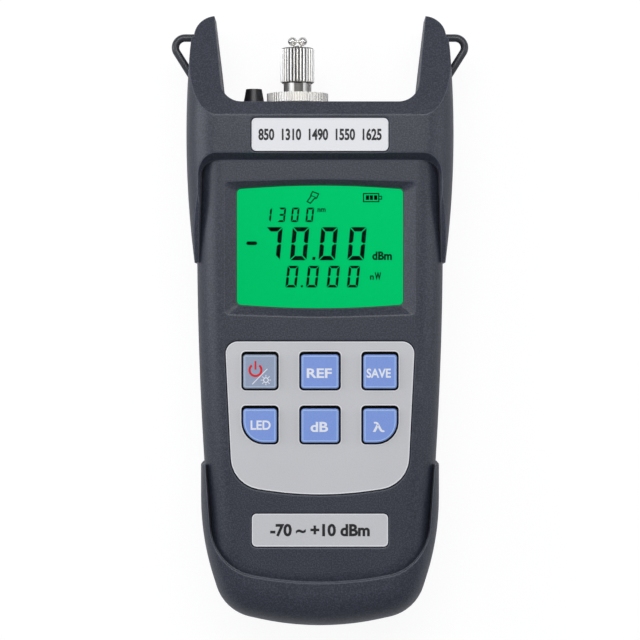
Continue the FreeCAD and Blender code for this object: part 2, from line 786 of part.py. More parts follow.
def keypad_outline(sketch, grow):
    """The keypad plate's outline, or a line parallel to it."""
    outline(sketch, [
        corner(s.keypad_top_half + grow, s.keypad_top + grow, s.keypad_corner + grow),
        corner(-(s.keypad_top_half + grow), s.keypad_top + grow, s.keypad_corner + grow),
        corner(-(s.keypad_foot_half + grow), s.keypad_foot - grow, s.keypad_foot_round + grow),
        corner(0, s.keypad_point - grow, s.keypad_end_round + grow),
        corner(s.keypad_foot_half + grow, s.keypad_foot - grow, s.keypad_foot_round + grow),
    ])


# Keys: node, column, row, width, and which corner is the big one, from the lower left round.
KEYS = [
    ("key_power", -1, s.key_upper_row, s.key_width, None),
    ("key_ref", 0, s.key_upper_row, s.key_width_middle, None),
    ("key_save", 1, s.key_upper_row, s.key_width, None),
    ("key_led", -1, s.key_lower_row, s.key_width, 0),
    ("key_db", 0, s.key_lower_row, s.key_width_middle, None),
    ("key_wavelength", 1, s.key_lower_row, s.key_width, 1),
]


def key_rounds(big, grow):
    rounds = [s.key_corner + grow] * 4
    if big is not None:
        rounds[big] = s.key_big_corner + grow
    return rounds


def key_holes(sketch, gap):
    """One opening for each key, with a gap all round."""
    for _, column, row, width, big in KEYS:
        panel(sketch, s.key_pitch_across * column, row + s.key_gap_upper / 2, width + gap * 2,
              s.key_height + gap * 2 + s.key_gap_upper, key_rounds(big, gap))


def front_half():
    """The front housing: display opening, keypad recess, nameplate recesses and screw bosses."""
    block = half_block("FrontBlock", s.parting_height, s.head_front + OUTSIDE)
    inside = s.core_front - s.wall
    hollow = room("FrontRoom", s.parting_height - OUTSIDE, inside, inside, s.core_round - s.wall)
    body = body_on("front_case", cut("FrontBase", block, hollow))

    bosses = new_sketch(body, "CaseBosses", offset=s.parting_height)
    circles(bosses, CASE_SCREWS, s.screw_core + s.boss_wall)
    pad(body, "CaseBossPads", bosses, inside + LEDGE - s.parting_height)
    small = new_sketch(body, "BoardBosses", offset=s.board_top)
    circles(small, BOARD_SCREWS, s.small_core + s.boss_wall * 0.75)
    pad(body, "BoardBossPads", small, inside + LEDGE - s.board_top)

    half_width, low, high = screen_limits()
    upper = new_sketch(body, "BevelOutline", offset=s.core_front)
    screen_outline(upper, half_width + s.bevel_side, low - s.bevel_bottom, high + s.bevel_top,
                   s.screen_rise * 0.5)
    lower = new_sketch(body, "ScreenOutline", offset=s.core_front - s.bevel_depth)
    screen_outline(lower, half_width, low, high, s.screen_rise)
    bevel = body.newObject("PartDesign::SubtractiveLoft", "ScreenBevel")
    bevel.Profile = upper
    bevel.Sections = [lower]
    opening = new_sketch(body, "ScreenOpening", offset=s.core_front)
    screen_outline(opening, half_width, low, high, s.screen_rise)
    pocket(body, "ScreenHole", opening, s.wall * 2)

    recess = new_sketch(body, "KeypadRecess", offset=s.core_front + OUTSIDE)
    keypad_outline(recess, s.plate_gap)
    pocket(body, "KeypadSeat", recess, s.keypad_recess + OUTSIDE)
    holes = new_sketch(body, "KeyOpenings", offset=s.core_front)
    key_holes(holes, s.key_gap + s.key_end_gap)
    pocket(body, "KeyHoles", holes, s.wall * 2)

    for name, middle, front in (("Top", s.top_plate_middle, s.head_front),
                                ("Bottom", s.bottom_plate_middle, s.core_front)):
        seat = new_sketch(body, name + "PlateSeat", offset=front + OUTSIDE)
        panel(seat, 0, middle, s.plate_width + s.plate_gap * 2, s.plate_height + s.plate_gap * 2,
              s.plate_corner + s.plate_gap)
        pocket(body, name + "PlateRecess", seat, s.plate_recess + OUTSIDE)

    pilot = new_sketch(body, "CasePilots", offset=s.parting_height - LEDGE)
    circles(pilot, CASE_SCREWS, s.screw_core + s.screw_play)
    pocket(body, "CasePilotHoles", pilot, s.screw_bite * 1.2, reverse=True)
    small_pilot = new_sketch(body, "BoardPilots", offset=s.board_top - LEDGE)
    circles(small_pilot, BOARD_SCREWS, s.small_core + s.screw_play)
    pocket(body, "BoardPilotHoles", small_pilot, s.small_bite * 1.2, reverse=True)
    end_holes(body)
    return body


# Battery bay and door

BAY_HALF = s.battery_pitch + s.battery_radius + s.battery_play
BAY_FLOOR = s.core_rear + s.door_thickness + s.battery_play
BATTERY_AXIS = BAY_FLOOR + s.battery_radius
BAY_CEILING = BATTERY_AXIS + s.battery_radius + s.battery_play
BAY_LENGTH = (s.spring_length + s.battery_length + s.button_length + s.contact_thickness
              + s.battery_play)
BAY_END = s.bay_top - BAY_LENGTH
DOOR_HALF = BAY_HALF + s.door_overlap
DOOR_TOP = s.bay_top + s.door_overlap
BEYOND = -(s.meter_length / 2 + OUTSIDE)


def block_between(sketch, left, right, low, high):
    outline(sketch, [corner(left, low), corner(right, low), corner(right, high), corner(left, high)])


def rear_half():
    """The rear housing: battery bay, door channel with its grooves, and screw tubes."""
    block = half_block("RearBlock", -OUTSIDE, s.parting_height)
    inner_face = s.core_rear + s.wall
    hollow = room("RearRoom", inner_face, s.parting_height + OUTSIDE, inner_face, s.rear_round - s.wall)
    body = body_on("rear_case", cut("RearBase", block, hollow))

    door_face = s.core_rear + s.door_thickness
    thick = new_sketch(body, "BootFloor", offset=door_face)
    boot_outline(thick, -s.wall * 0.75)
    pad(body, "BootFloorPad", thick, s.rail_height)
    rails = new_sketch(body, "Rails", offset=door_face)
    rail_side = DOOR_HALF + s.tongue_reach + s.wall
    block_between(rails, -rail_side, rail_side, s.boot_start - OUTSIDE, DOOR_TOP + s.wall)
    pad(body, "RailPad", rails, s.rail_height)
    bay = new_sketch(body, "BayBlock", offset=door_face)
    block_between(bay, -(BAY_HALF + s.bay_wall), BAY_HALF + s.bay_wall,
                  BAY_END - s.bay_wall, s.bay_top + s.bay_wall)
    pad(body, "BayPad", bay, BAY_CEILING + s.bay_wall - door_face)
    tubes = new_sketch(body, "ScrewTubes", offset=door_face)
    circles(tubes, CASE_SCREWS, s.screw_head + s.boss_wall * 0.6)
    pad(body, "ScrewTubePads", tubes, s.parting_height - door_face)

    room_sketch = new_sketch(body, "BayRoom", offset=-OUTSIDE)
    block_between(room_sketch, -BAY_HALF, BAY_HALF, BAY_END, s.bay_top)
    pocket(body, "BatteryRoom", room_sketch, BAY_CEILING + OUTSIDE, reverse=True)
    channel = new_sketch(body, "DoorChannel", offset=-OUTSIDE)
    block_between(channel, -(DOOR_HALF + s.door_play), DOOR_HALF + s.door_play,
                  BEYOND, DOOR_TOP + s.door_play)
    pocket(body, "ChannelCut", channel, door_face + s.door_play + OUTSIDE, reverse=True)
    groove = new_sketch(body, "DoorGrooves", offset=s.core_rear + s.tongue_depth - s.door_play)
    groove_side = DOOR_HALF + s.tongue_reach + s.door_play
    block_between(groove, -groove_side, groove_side, BEYOND, DOOR_TOP + s.door_play)
    pocket(body, "GrooveCut", groove, s.tongue_thickness + s.door_play * 2, reverse=True)

    heads = new_sketch(body, "HeadBores", offset=-OUTSIDE)
    circles(heads, CASE_SCREWS, s.screw_head + s.screw_play * 2)
    pocket(body, "HeadBoreCut", heads, s.screw_seat + OUTSIDE, reverse=True)
    shanks = new_sketch(body, "ShankBores", offset=-OUTSIDE)
    circles(shanks, CASE_SCREWS, s.screw_core + s.screw_play)
    pocket(body, "ShankBoreCut", shanks, s.parting_height + OUTSIDE * 2, reverse=True)
    end_holes(body)
    return body


def battery_door():
    """The sliding door: its lower end follows the boot, its sides carry tongues."""
    plate = new_body("door_blank")
    sketch = new_sketch(plate, "DoorPlate", offset=s.core_rear)
    block_between(sketch, -DOOR_HALF, DOOR_HALF, BEYOND, DOOR_TOP)
    pad(plate, "DoorPlatePad", sketch, s.door_thickness)
    tongues = new_sketch(plate, "DoorTongues", offset=s.core_rear + s.tongue_depth)
    side = DOOR_HALF + s.tongue_reach
    block_between(tongues, -side, side, BEYOND, DOOR_TOP)
    pad(plate, "TonguePad", tongues, s.tongue_thickness)
    body = body_on("battery_door", joined("Part::MultiCommon", "DoorForm", [outer_form, plate]))

    grip = new_sketch(body, "GripGroove", offset=s.core_rear)
    panel(grip, 0, DOOR_TOP - s.grip_pitch * 2, s.grip_width, s.grip_pitch / 2, s.grip_pitch / 5)
    first = pocket(body, "GripCut", grip, s.grip_pitch / 4, reverse=True)
    row = body.newObject("PartDesign::LinearPattern", "GripRow")
    row.Originals = [first]
    row.Direction = (grip, ["V_Axis"])
    row.Reversed = True
    bind(row, "Length", s.grip_pitch * (s.grip_count - 1))
    bind(row, "Occurrences", s.grip_count)
    body.Tip = row
    return body


# Flat pieces

def slab(label, x, y, z, width, height, thickness, round=None):
    """A flat piece with square or rounded corners."""
    body = new_body(label)
    sketch = new_sketch(body, label + "_outline")
    panel(sketch, 0, 0, width, height, round)
    pad(body, label + "_pad", sketch, thickness)
    return place(body, x, y, z)


def display():
    """Window, display glass, light guide and the frame that holds them on the board."""
    height = s.screen_height + s.screen_rise * 2
    lens_back = s.core_front - s.wall - s.lens_thickness
    slab("lcd_window", 0, s.screen_middle, lens_back, s.screen_width + s.lens_border * 2,
         height + s.lens_border * 2, s.lens_thickness, s.screen_round)
    glass_back = lens_back - s.lens_gap - s.glass_thickness
    glass_width = s.screen_width + s.glass_border * 2
    glass_height = height + s.glass_border * 2
    slab("lcd_glass", 0, s.screen_middle, glass_back, glass_width, glass_height, s.glass_thickness)
    slab("lcd_backlight", 0, s.screen_middle, s.board_top, glass_width, glass_height,
         glass_back - s.board_top)
    frame_front = lens_back - s.lens_gap - s.frame_lip
    frame = slab("lcd_frame", 0, s.screen_middle, s.board_top,
                 glass_width + (s.frame_wall + s.fit_gap) * 2,
                 glass_height + (s.frame_wall + s.fit_gap) * 2, frame_front - s.board_top)
    opening = new_sketch(frame, "FrameOpening", offset=-LEDGE)
    panel(opening, 0, 0, glass_width + s.fit_gap * 2, glass_height + s.fit_gap * 2)
    pocket(frame, "FrameHole", opening, s.core_front, reverse=True)


def nameplates():
    """Two bare plates in their recesses."""
    for label, middle, front in (("top_nameplate", s.top_plate_middle, s.head_front),
                                 ("bottom_nameplate", s.bottom_plate_middle, s.core_front)):
        slab(label, 0, middle, front - s.plate_recess, s.plate_width, s.plate_height,
             s.plate_thickness, s.plate_corner)


def board():
    """Main board with its screw holes, and the processor on its rear face."""
    body = new_body("main_board")
    back = s.board_top - s.board_thickness
    sketch = new_sketch(body, "BoardOutline", offset=back)
    block_between(sketch, -s.board_half_width, s.board_half_width, s.board_lower, s.board_upper)
    circles(sketch, BOARD_SCREWS, s.small_core + s.screw_play)
    pad(body, "BoardPad", sketch, s.board_thickness)
    slab("main_chip", 0, s.screen_middle, back - s.chip_thickness, s.chip_side, s.chip_side,
         s.chip_thickness)


# Keypad

def keypad_plate():
    """The silver plate with an opening for each key."""
    body = new_body("keypad_plate")
    seat = s.core_front - s.keypad_recess
    front = seat + s.keypad_thickness
    sketch = new_sketch(body, "PlateOutline", offset=seat)
    keypad_outline(sketch, 0)
    key_holes(sketch, s.key_gap)
    pad(body, "PlatePad", sketch, s.keypad_thickness)
    half = float(s.keypad_top_half)
    fillet(body, "PlateEdge", s.keypad_thickness / 4,
           lambda e: level(e, front) and outer_edge(e, half))
    return body


def outer_edge(edge, half):
    """True for an edge on the rim of the keypad plate."""
    box = edge.BoundBox
    rim = max(abs(box.XMin), abs(box.XMax)) > half - 3.2
    ends = box.YMax > float(s.keypad_top) - 0.2 or box.YMin < float(s.keypad_foot)
    return rim or ends


def key(label, column, row, width, big):
    """One key: tapered cap, flange behind the wall and square plunger."""
    body = new_body(label)
    wall_back = s.core_front - s.wall
    flange_top = wall_back - s.key_end_gap
    flange_back = flange_top - s.key_flange
    spread = (s.key_gap + s.key_flange) * 2
    flange = new_sketch(body, label + "_flange", offset=flange_back)
    panel(flange, 0, 0, width + spread, s.key_height + spread, key_rounds(big, s.key_gap))
    pad(body, label + "_flange_pad", flange, s.key_flange)
    top = new_sketch(body, label + "_top", offset=s.key_top)
    panel(top, 0, 0, width - s.key_taper * 2, s.key_height - s.key_taper * 2, key_rounds(big, 0))
    rise = s.key_top - flange_top
    pad(body, label + "_cap", top, rise, reverse=True, taper=slope_angle(s.key_taper, rise))
    stem = new_sketch(body, label + "_stem", offset=flange_back)
    panel(stem, 0, 0, s.key_plunger, s.key_plunger)
    mat_front = s.board_top + s.mat_thickness
    stem_length = flange_back - mat_front - s.key_travel - s.key_end_gap
    pad(body, label + "_plunger", stem, stem_length, reverse=True)
    fillet(body, label + "_crown", s.key_crown, lambda e: level(e, s.key_top))
    return place(body, s.key_pitch_across * column, row)


def keypad_mat():
    """Soft mat on the board, with a square well round each plunger."""
    body = new_body("keypad_mat")
    sketch = new_sketch(body, "MatOutline", offset=s.board_top)
    block_between(sketch, -s.mat_half_width, s.mat_half_width, s.mat_foot, s.mat_top)
    pad(body, "MatPad", sketch, s.mat_thickness)
    inner = s.key_plunger + s.well_gap * 2
    wells = new_sketch(body, "Wells", offset=s.board_top + s.mat_thickness - LEDGE)
    for _, column, row, _, _ in KEYS:
        for side in (inner, inner + s.well_wall * 2):
            panel(wells, s.key_pitch_across * column, row, side, side)
    pad(body, "WellPads", wells, s.well_rise + LEDGE)
    return body


# Turned pieces along the port's axis

def turned(label, x, profile, rotation=END_ROTATION, y=None, z=None):
    """A piece turned about its own axis, placed on the end wall unless told otherwise."""
    body = new_body(label)
    sketch = new_sketch(body, label + "_profile", "XZ_Plane")
    outline(sketch, profile)
    revolve(body, label + "_turning", sketch)
    return place(body, x, s.shelf if y is None else y, s.parting_height if z is None else z, rotation)


def knurl(body, name, radius, depth, teeth, low, high):
    """Straight grooves all round a turned piece."""
    sketch = new_sketch(body, name + "Groove", offset=low - LEDGE)
    half = depth * 1.2
    outline(sketch, [
        corner(radius - depth, 0),
        corner(radius + depth * 0.25, -half),
        corner(radius + depth * 0.25, half),
    ])
    groove = pocket(body, name + "Cut", sketch, high - low + LEDGE * 2, reverse=True)
    ring = body.newObject("PartDesign::PolarPattern", name + "Ring")
    ring.Originals = [groove]
    ring.Axis = (sketch, ["N_Axis"])
    ring.Angle = 360
    bind(ring, "Occurrences", teeth)
    body.Tip = ring
    return ring


def port():
    """Threaded stub through the end wall, its nut, the detector behind it and the detector's board."""
    bore = s.holder_radius + s.fit_gap
    bottom = -(s.holder_depth + s.fit_gap * 2)
    can_seat = bottom - s.wall / 3
    tail = can_seat - s.diode_length - s.diode_rim_thickness - s.fit_gap
    can_bore = s.diode_rim + s.screw_play
    turned("detector_port", s.port_across, [
        corner(bore, bottom),
        corner(bore, s.port_reach),
        corner(s.port_radius, s.port_reach),
        corner(s.port_radius, s.port_flange_thickness),
        corner(s.port_flange, s.port_flange_thickness),
        corner(s.port_flange, 0),
        corner(s.port_radius, 0),
        corner(s.port_radius, tail),
        corner(can_bore, tail),
        corner(can_bore, can_seat),
        corner(s.sleeve_radius, can_seat),
        corner(s.sleeve_radius, bottom),
    ][::-1])

    nut = new_body("port_nut")
    sketch = new_sketch(nut, "NutOutline", offset=-(s.wall + s.nut_thickness))
    flat = s.nut_across / 2
    point = flat / root(size(3) / 4)
    half = point / 2
    outline(sketch, [corner(point, 0), corner(half, flat), corner(-half, flat),
                     corner(-point, 0), corner(-half, -flat), corner(half, -flat)])
    circle(sketch, 0, 0, s.port_radius + LEDGE)
    pad(nut, "NutPad", sketch, s.nut_thickness)
    place(nut, s.port_across, s.shelf, s.parting_height, END_ROTATION)

    rim_front = tail + s.diode_rim_thickness
    turned("photodiode", s.port_across, [
        corner(0, tail),
        corner(s.diode_rim, tail),
        corner(s.diode_rim, rim_front),
        corner(s.diode_radius, rim_front),
        corner(s.diode_radius, rim_front + s.diode_length),
        corner(0, rim_front + s.diode_length),
    ])
    small = new_body("detector_board")
    face = new_sketch(small, "DetectorBoardOutline", offset=tail - s.detector_board_thickness)
    panel(face, 0, 0, s.detector_board_side, s.detector_board_side)
    pad(small, "DetectorBoardPad", face, s.detector_board_thickness)
    place(small, s.port_across, s.shelf, s.parting_height, END_ROTATION)


def adapter():
    """Knurled disc and barrel in one, with the tube that holds the ferrule sleeve."""
    sleeve_seat = s.sleeve_radius + LEDGE
    ceiling = s.port_reach + s.fit_gap
    stub = s.port_radius + s.fit_gap
    base = s.port_flange_thickness + LEDGE
    holder_top = s.barrel_top - 1
    body = turned("fibre_adapter", s.port_across, [
        corner(sleeve_seat, -s.holder_depth),
        corner(s.holder_radius, -s.holder_depth),
        corner(s.holder_radius, ceiling),
        corner(stub, ceiling),
        corner(stub, base),
        corner(s.disc_radius, base),
        corner(s.disc_radius, s.disc_top),
        corner(s.barrel_radius, s.disc_top),
        corner(s.barrel_radius, s.barrel_top),
        corner(s.barrel_bore, s.barrel_top),
        corner(s.barrel_bore, s.barrel_floor),
        corner(s.holder_radius, s.barrel_floor),
        corner(s.holder_radius, holder_top),
        corner(sleeve_seat, holder_top),
    ])
    slot = new_sketch(body, "KeySlot", "YZ_Plane", offset=(s.holder_radius + s.barrel_bore) / 2)
    half = s.slot_width / 2
    block_between(slot, -half, half, s.barrel_top - s.slot_length, s.barrel_top + LEDGE)
    pocket(body, "KeySlotCut", slot, s.barrel_radius, reverse=True)
    knurl(body, "Disc", s.disc_radius, s.disc_tooth_depth, s.disc_teeth, base, s.disc_top)
    turned("ferrule_sleeve", s.port_across, [
        corner(s.ferrule_bore, -s.holder_depth),
        corner(s.sleeve_radius, -s.holder_depth),
        corner(s.sleeve_radius, holder_top),
        corner(s.ferrule_bore, holder_top),
    ])


def cap():
    """Knurled dust cap, the rivet on its end and the two beads of its chain."""
    end = s.cap_start + s.cap_length
    roof = end - s.cap_roof
    rim = s.cap_radius - s.cap_bevel
    body = turned("dust_cap", s.port_across, [
        corner(s.cap_bore, s.cap_start),
        corner(rim, s.cap_start),
        corner(s.cap_radius, s.cap_start + s.cap_bevel),
        corner(s.cap_radius, end - s.cap_bevel),
        corner(rim, end),
        corner(0, end),
        corner(0, roof),
        corner(s.cap_bore, roof),
    ])
    knurl(body, "Cap", s.cap_radius, s.cap_tooth_depth, s.cap_teeth, s.cap_start, end)
    rivet_front = end + s.rivet_thickness
    turned("cap_rivet", s.port_across, [
        corner(0, end),
        corner(s.rivet_radius, end),
        corner(s.rivet_radius * 0.7, rivet_front),
        corner(0, rivet_front),
    ])
    middle = s.bead_radius + s.link_radius / 2
    neck = middle - root(s.bead_radius * s.bead_radius - s.link_radius * s.link_radius)
    turned("chain_beads", s.port_across, [
        corner(0, -middle - s.bead_radius, bow=s.bead_radius),
        corner(s.bead_radius, -middle, bow=s.bead_radius),
        corner(s.link_radius, -neck),
        corner(s.link_radius, neck, bow=s.bead_radius),
        corner(s.bead_radius, middle, bow=s.bead_radius),
        corner(0, middle + s.bead_radius),
    ], rotation=ACROSS_ROTATION, y=s.shelf + rivet_front + s.bead_radius)


def torch():
    """Black cone beside the port, with its lamp."""
    tail = -(s.wall + s.torch_tail)
    bore = s.led_radius + LEDGE
    turned("torch_bezel", s.torch_across, [
        corner(bore, tail),
        corner(s.torch_stem, tail),
        corner(s.torch_stem, 0),
        corner(s.torch_base, 0),
        corner(s.torch_top, s.torch_reach),
        corner(bore, s.torch_reach),
    ])
    dome = s.torch_reach - s.led_setback - s.led_radius
    turned("torch_led", s.torch_across, [
        corner(0, tail - s.torch_tail),
        corner(s.led_radius, tail - s.torch_tail),
        corner(s.led_radius, dome, bow=s.led_radius),
        corner(0, dome + s.led_radius),
    ])


# Loops

def loop_bar(label, radius):
    """The left loop's bar: an arm out of the horn, a round corner and a slanted arm back."""
    body = new_body(label)
    path = new_sketch(body, label + "_path", offset=s.parting_height)
    points = [(-s.loop_root, s.loop_upper), (-s.loop_corner, s.loop_upper),
              (-s.loop_lower_root, s.loop_lower)]
    vectors = [Vector(float(x), float(y), 0) for x, y in points]
    path.addGeometry(Part.LineSegment(vectors[0], vectors[1]))
    path.addGeometry(Part.LineSegment(vectors[1], vectors[2]))
    path.addConstraint(Sketcher.Constraint("Coincident", 0, 2, 1, 1))
    ties = []
    for (side, end), (x, y) in zip(((0, 1), (0, 2), (1, 2)), points):
        ties.append(name_tie(path, Sketcher.Constraint("DistanceX", side, end, float(x)), x))
        ties.append(name_tie(path, Sketcher.Constraint("DistanceY", side, end, float(y)), y))
    arc = path.GeometryCount
    path.fillet(0, 2, float(s.loop_round), True, True)
    ties.append(name_tie(path, Sketcher.Constraint("Radius", arc, float(s.loop_round)), s.loop_round))
    for name, value in ties:
        path.setExpression(f"Constraints.{name}", value.text)
    section = new_sketch(body, label + "_section", "YZ_Plane", offset=-s.loop_root)
    circle(section, s.loop_upper, s.parting_height, radius)
    pipe = body.newObject("PartDesign::AdditivePipe", label + "_pipe")
    pipe.Profile = section
    pipe.Spine = path
    return body


def battery_profile():
    """A cell along its axis, from its flat end."""
    bevel = s.contact_thickness
    front = s.battery_length
    button = front + s.button_length
    return [
        corner(0, 0),
        corner(s.battery_radius - bevel, 0),
        corner(s.battery_radius, bevel),
        corner(s.battery_radius, front - bevel),
        corner(s.battery_radius - bevel, front),
        corner(s.button_radius, front),
        corner(s.button_radius, button),
        corner(0, button),
    ]


def batteries():
    """Three cells, the middle one the other way round, with a leaf spring and a plate for each."""
    flipped = Rotation(Vector(1, 0, 0), 90)
    springs, plates = [], []
    for number, column in enumerate((-1, 0, 1), 1):
        x = s.battery_pitch * column
        forward = column != 0
        start = BAY_END + s.spring_length if forward else s.bay_top - s.spring_length
        turned(f"battery_{number}", x, battery_profile(), END_ROTATION if forward else flipped,
               start, BATTERY_AXIS)
        springs.append(leaf_spring(number, x, forward))
        plates.append(contact_plate(number, x, forward))
    for label, pieces in (("contact_springs", springs), ("contact_plates", plates)):
        group = doc.addObject("Part::Compound", "Group_" + label)
        group.Links = pieces
        named(group, label)


def leaf_spring(number, x, forward):
    """A bowed leaf between a cell's flat end and the wall of the bay."""
    body = new_body(f"leaf_{number}")
    sketch = new_sketch(body, f"Leaf{number}", "YZ_Plane")
    reach = s.spring_length - LEDGE
    half = s.contact_width / 2
    metal = s.contact_thickness
    for inset, foot, nose in ((size(0), half, half / 4), (metal, half - metal * 2, half / 5)):
        outline(sketch, [corner(inset, -foot), corner(reach - inset, -nose),
                         corner(reach - inset, nose), corner(inset, foot)])
    pad(body, f"Leaf{number}Pad", sketch, s.contact_width * 0.7, both=True)
    turn = Rotation() if forward else Rotation(Vector(0, 0, 1), 180)
    return place(body, x, BAY_END if forward else s.bay_top, BATTERY_AXIS, turn)


def contact_plate(number, x, forward):
    """The flat contact at a cell's button."""
    plate = doc.addObject("Part::Box", f"ContactPlate{number}")
    bind(plate, "Length", s.contact_width)
    bind(plate, "Width", s.contact_thickness)
    bind(plate, "Height", s.contact_width)
    y = s.bay_top - s.contact_thickness if forward else BAY_END
    return place(plate, x - s.contact_width / 2, y, BATTERY_AXIS - s.contact_width / 2)


def screws(label, places, seat, head, head_thickness, core, tip):
    """Screws put in from the rear: one solid each, in one group."""
    pieces = []
    for number, (x, y) in enumerate(places, 1):
        pieces.append(turned(f"{label}_{number}", x, [
            corner(0, seat - head_thickness),
            corner(head, seat - head_thickness),
            corner(head, seat),
            corner(core, seat),
            corner(core, tip),
            corner(0, tip),
        ], Rotation(), y, size(0)))
    group = doc.addObject("Part::Compound", "Group_" + label)
    group.Links = pieces
    named(group, label)


front = front_half()
rear = rear_half()
battery_door()
display()
nameplates()
board()
keypad_plate()
for row_of_keys in KEYS:
    key(*row_of_keys)
keypad_mat()
port()
adapter()
cap()
torch()
batteries()
screws("case_screws", CASE_SCREWS, s.screw_seat, s.screw_head, s.screw_head_thickness, s.screw_core,
       s.parting_height + s.screw_bite)
screws("board_screws", BOARD_SCREWS, s.board_top - s.board_thickness, s.small_head,
       s.small_head_thickness, s.small_core, s.board_top + s.small_bite)

left_loop = loop_bar("lanyard_loop_left", s.loop_bar)
right_loop = mirrored("lanyard_loop_right", left_loop)
left_seat = loop_bar("loop_seat_left", s.loop_bar + s.loop_play)
loop_seats = joined("Part::MultiFuse", "LoopSeats", [left_seat, mirrored("loop_seat_right", left_seat)])
front_case = cut("FrontCase", front, loop_seats)
rear_case = cut("RearCase", rear, loop_seats)
front.Label = "front_body"
rear.Label = "rear_body"
front_case.Label = "front_case"
rear_case.Label = "rear_case"
doc.recompute()

NODES = [
    "front_case", "rear_case", "battery_door", "lanyard_loop_left", "lanyard_loop_right",
    "lcd_window", "lcd_glass", "lcd_backlight", "lcd_frame", "keypad_plate",
    "key_power", "key_ref", "key_save", "key_led", "key_db", "key_wavelength", "keypad_mat",
    "main_board", "main_chip", "board_screws", "top_nameplate", "bottom_nameplate",
    "detector_port", "port_nut", "photodiode", "detector_board", "fibre_adapter", "ferrule_sleeve",
    "dust_cap", "cap_rivet", "chain_beads", "torch_bezel", "torch_led",
    "battery_1", "battery_2", "battery_3", "contact_springs", "contact_plates", "case_screws",
]
REMOVERS = ("PartDesign::Pocket", "PartDesign::SubtractiveLoft")


def check_document():
    """Stops if a feature failed, cut nothing, or left a bad shape."""
    for item in doc.Objects:
        if "Invalid" in item.State or "Error" in item.State:
            raise RuntimeError(f"{item.Label} failed: {item.State}")
        if item.TypeId in REMOVERS and item.BaseFeature is not None:
            taken = item.BaseFeature.Shape.Volume - item.Shape.Volume
            if taken < 1e-4:
                raise RuntimeError(f"{item.Label} cuts nothing")


def export_nodes():
    """Writes every piece that is kept."""
    for label in NODES:
        shape = doc.getObjectsByLabel(label)[0].Shape
        if shape.isNull() or not shape.isValid() or not shape.Solids:
            raise RuntimeError(f"{label} has no valid solid")
        shape.exportStep(f"parts/{label}.step")
        print(f"{label}: {len(shape.Solids)} solid(s), {shape.Volume:.1f} mm3")


check_document()
export_nodes()
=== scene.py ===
import math

import bpy
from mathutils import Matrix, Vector


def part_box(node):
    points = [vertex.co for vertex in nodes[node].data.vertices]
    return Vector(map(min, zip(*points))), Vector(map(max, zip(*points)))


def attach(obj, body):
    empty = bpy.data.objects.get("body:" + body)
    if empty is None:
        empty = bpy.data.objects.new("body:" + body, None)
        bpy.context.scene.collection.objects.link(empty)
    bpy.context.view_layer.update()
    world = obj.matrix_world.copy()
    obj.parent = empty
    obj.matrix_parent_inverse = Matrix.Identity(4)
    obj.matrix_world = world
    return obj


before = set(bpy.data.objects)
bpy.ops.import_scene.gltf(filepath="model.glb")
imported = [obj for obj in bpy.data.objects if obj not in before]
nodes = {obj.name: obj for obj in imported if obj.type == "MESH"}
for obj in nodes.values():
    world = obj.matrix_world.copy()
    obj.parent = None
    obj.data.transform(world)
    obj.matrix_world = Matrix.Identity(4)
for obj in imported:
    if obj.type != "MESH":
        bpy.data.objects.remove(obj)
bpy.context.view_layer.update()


# Setting: a plain white table top seen from straight above, as in a product picture.
# Large soft lamps stand round it, the strongest beyond the horns, so the shoulders of the
# housing carry long soft highlights and the boot falls off darker.

class Value:
    """A number or colour worked out by nodes. Plain maths on it adds the nodes."""

    def __init__(self, tree, socket):
        self.tree = tree
        self.socket = socket

    def calculate(self, operation, other=0):
        """One Math node on this value, and on another where it takes two."""
        return self.tree.node("ShaderNodeMath", {"operation": operation}, {0: self, 1: other})

    def __add__(self, other):
        return self.calculate("ADD", other)

    __radd__ = __add__

    def __sub__(self, other):
        return self.calculate("SUBTRACT", other)

    def __rsub__(self, other):
        return self * -1 + other

    def __mul__(self, other):
        return self.calculate("MULTIPLY", other)

    __rmul__ = __mul__

    def __gt__(self, other):
        return self.calculate("GREATER_THAN", other)

    def __lt__(self, other):
        return self.calculate("LESS_THAN", other)


class Tree:
    """The nodes of a material or a world, and the one way to add a node to them."""

    def __init__(self, owner):
        owner.use_nodes = True
        self.nodes = owner.node_tree.nodes
        self.links = owner.node_tree.links
        self.nodes.clear()

    def node(self, kind, settings, sockets, output=0):
        """Adds a node; its settings come first, then the values or links of its sockets."""
        made = self.nodes.new(kind)
        for name, value in settings.items():
            if name == "stops":
                for stop, (where, colour) in zip(made.color_ramp.elements, value):
                    stop.position = where
                    stop.color = (*colour, 1)
            else:
                setattr(made, name, value)
        for name, value in sockets.items():
            if isinstance(value, Value):
                self.links.new(value.socket, made.inputs[name])
            else:
                made.inputs[name].default_value = value
        return Value(self, made.outputs[output]) if made.outputs else None


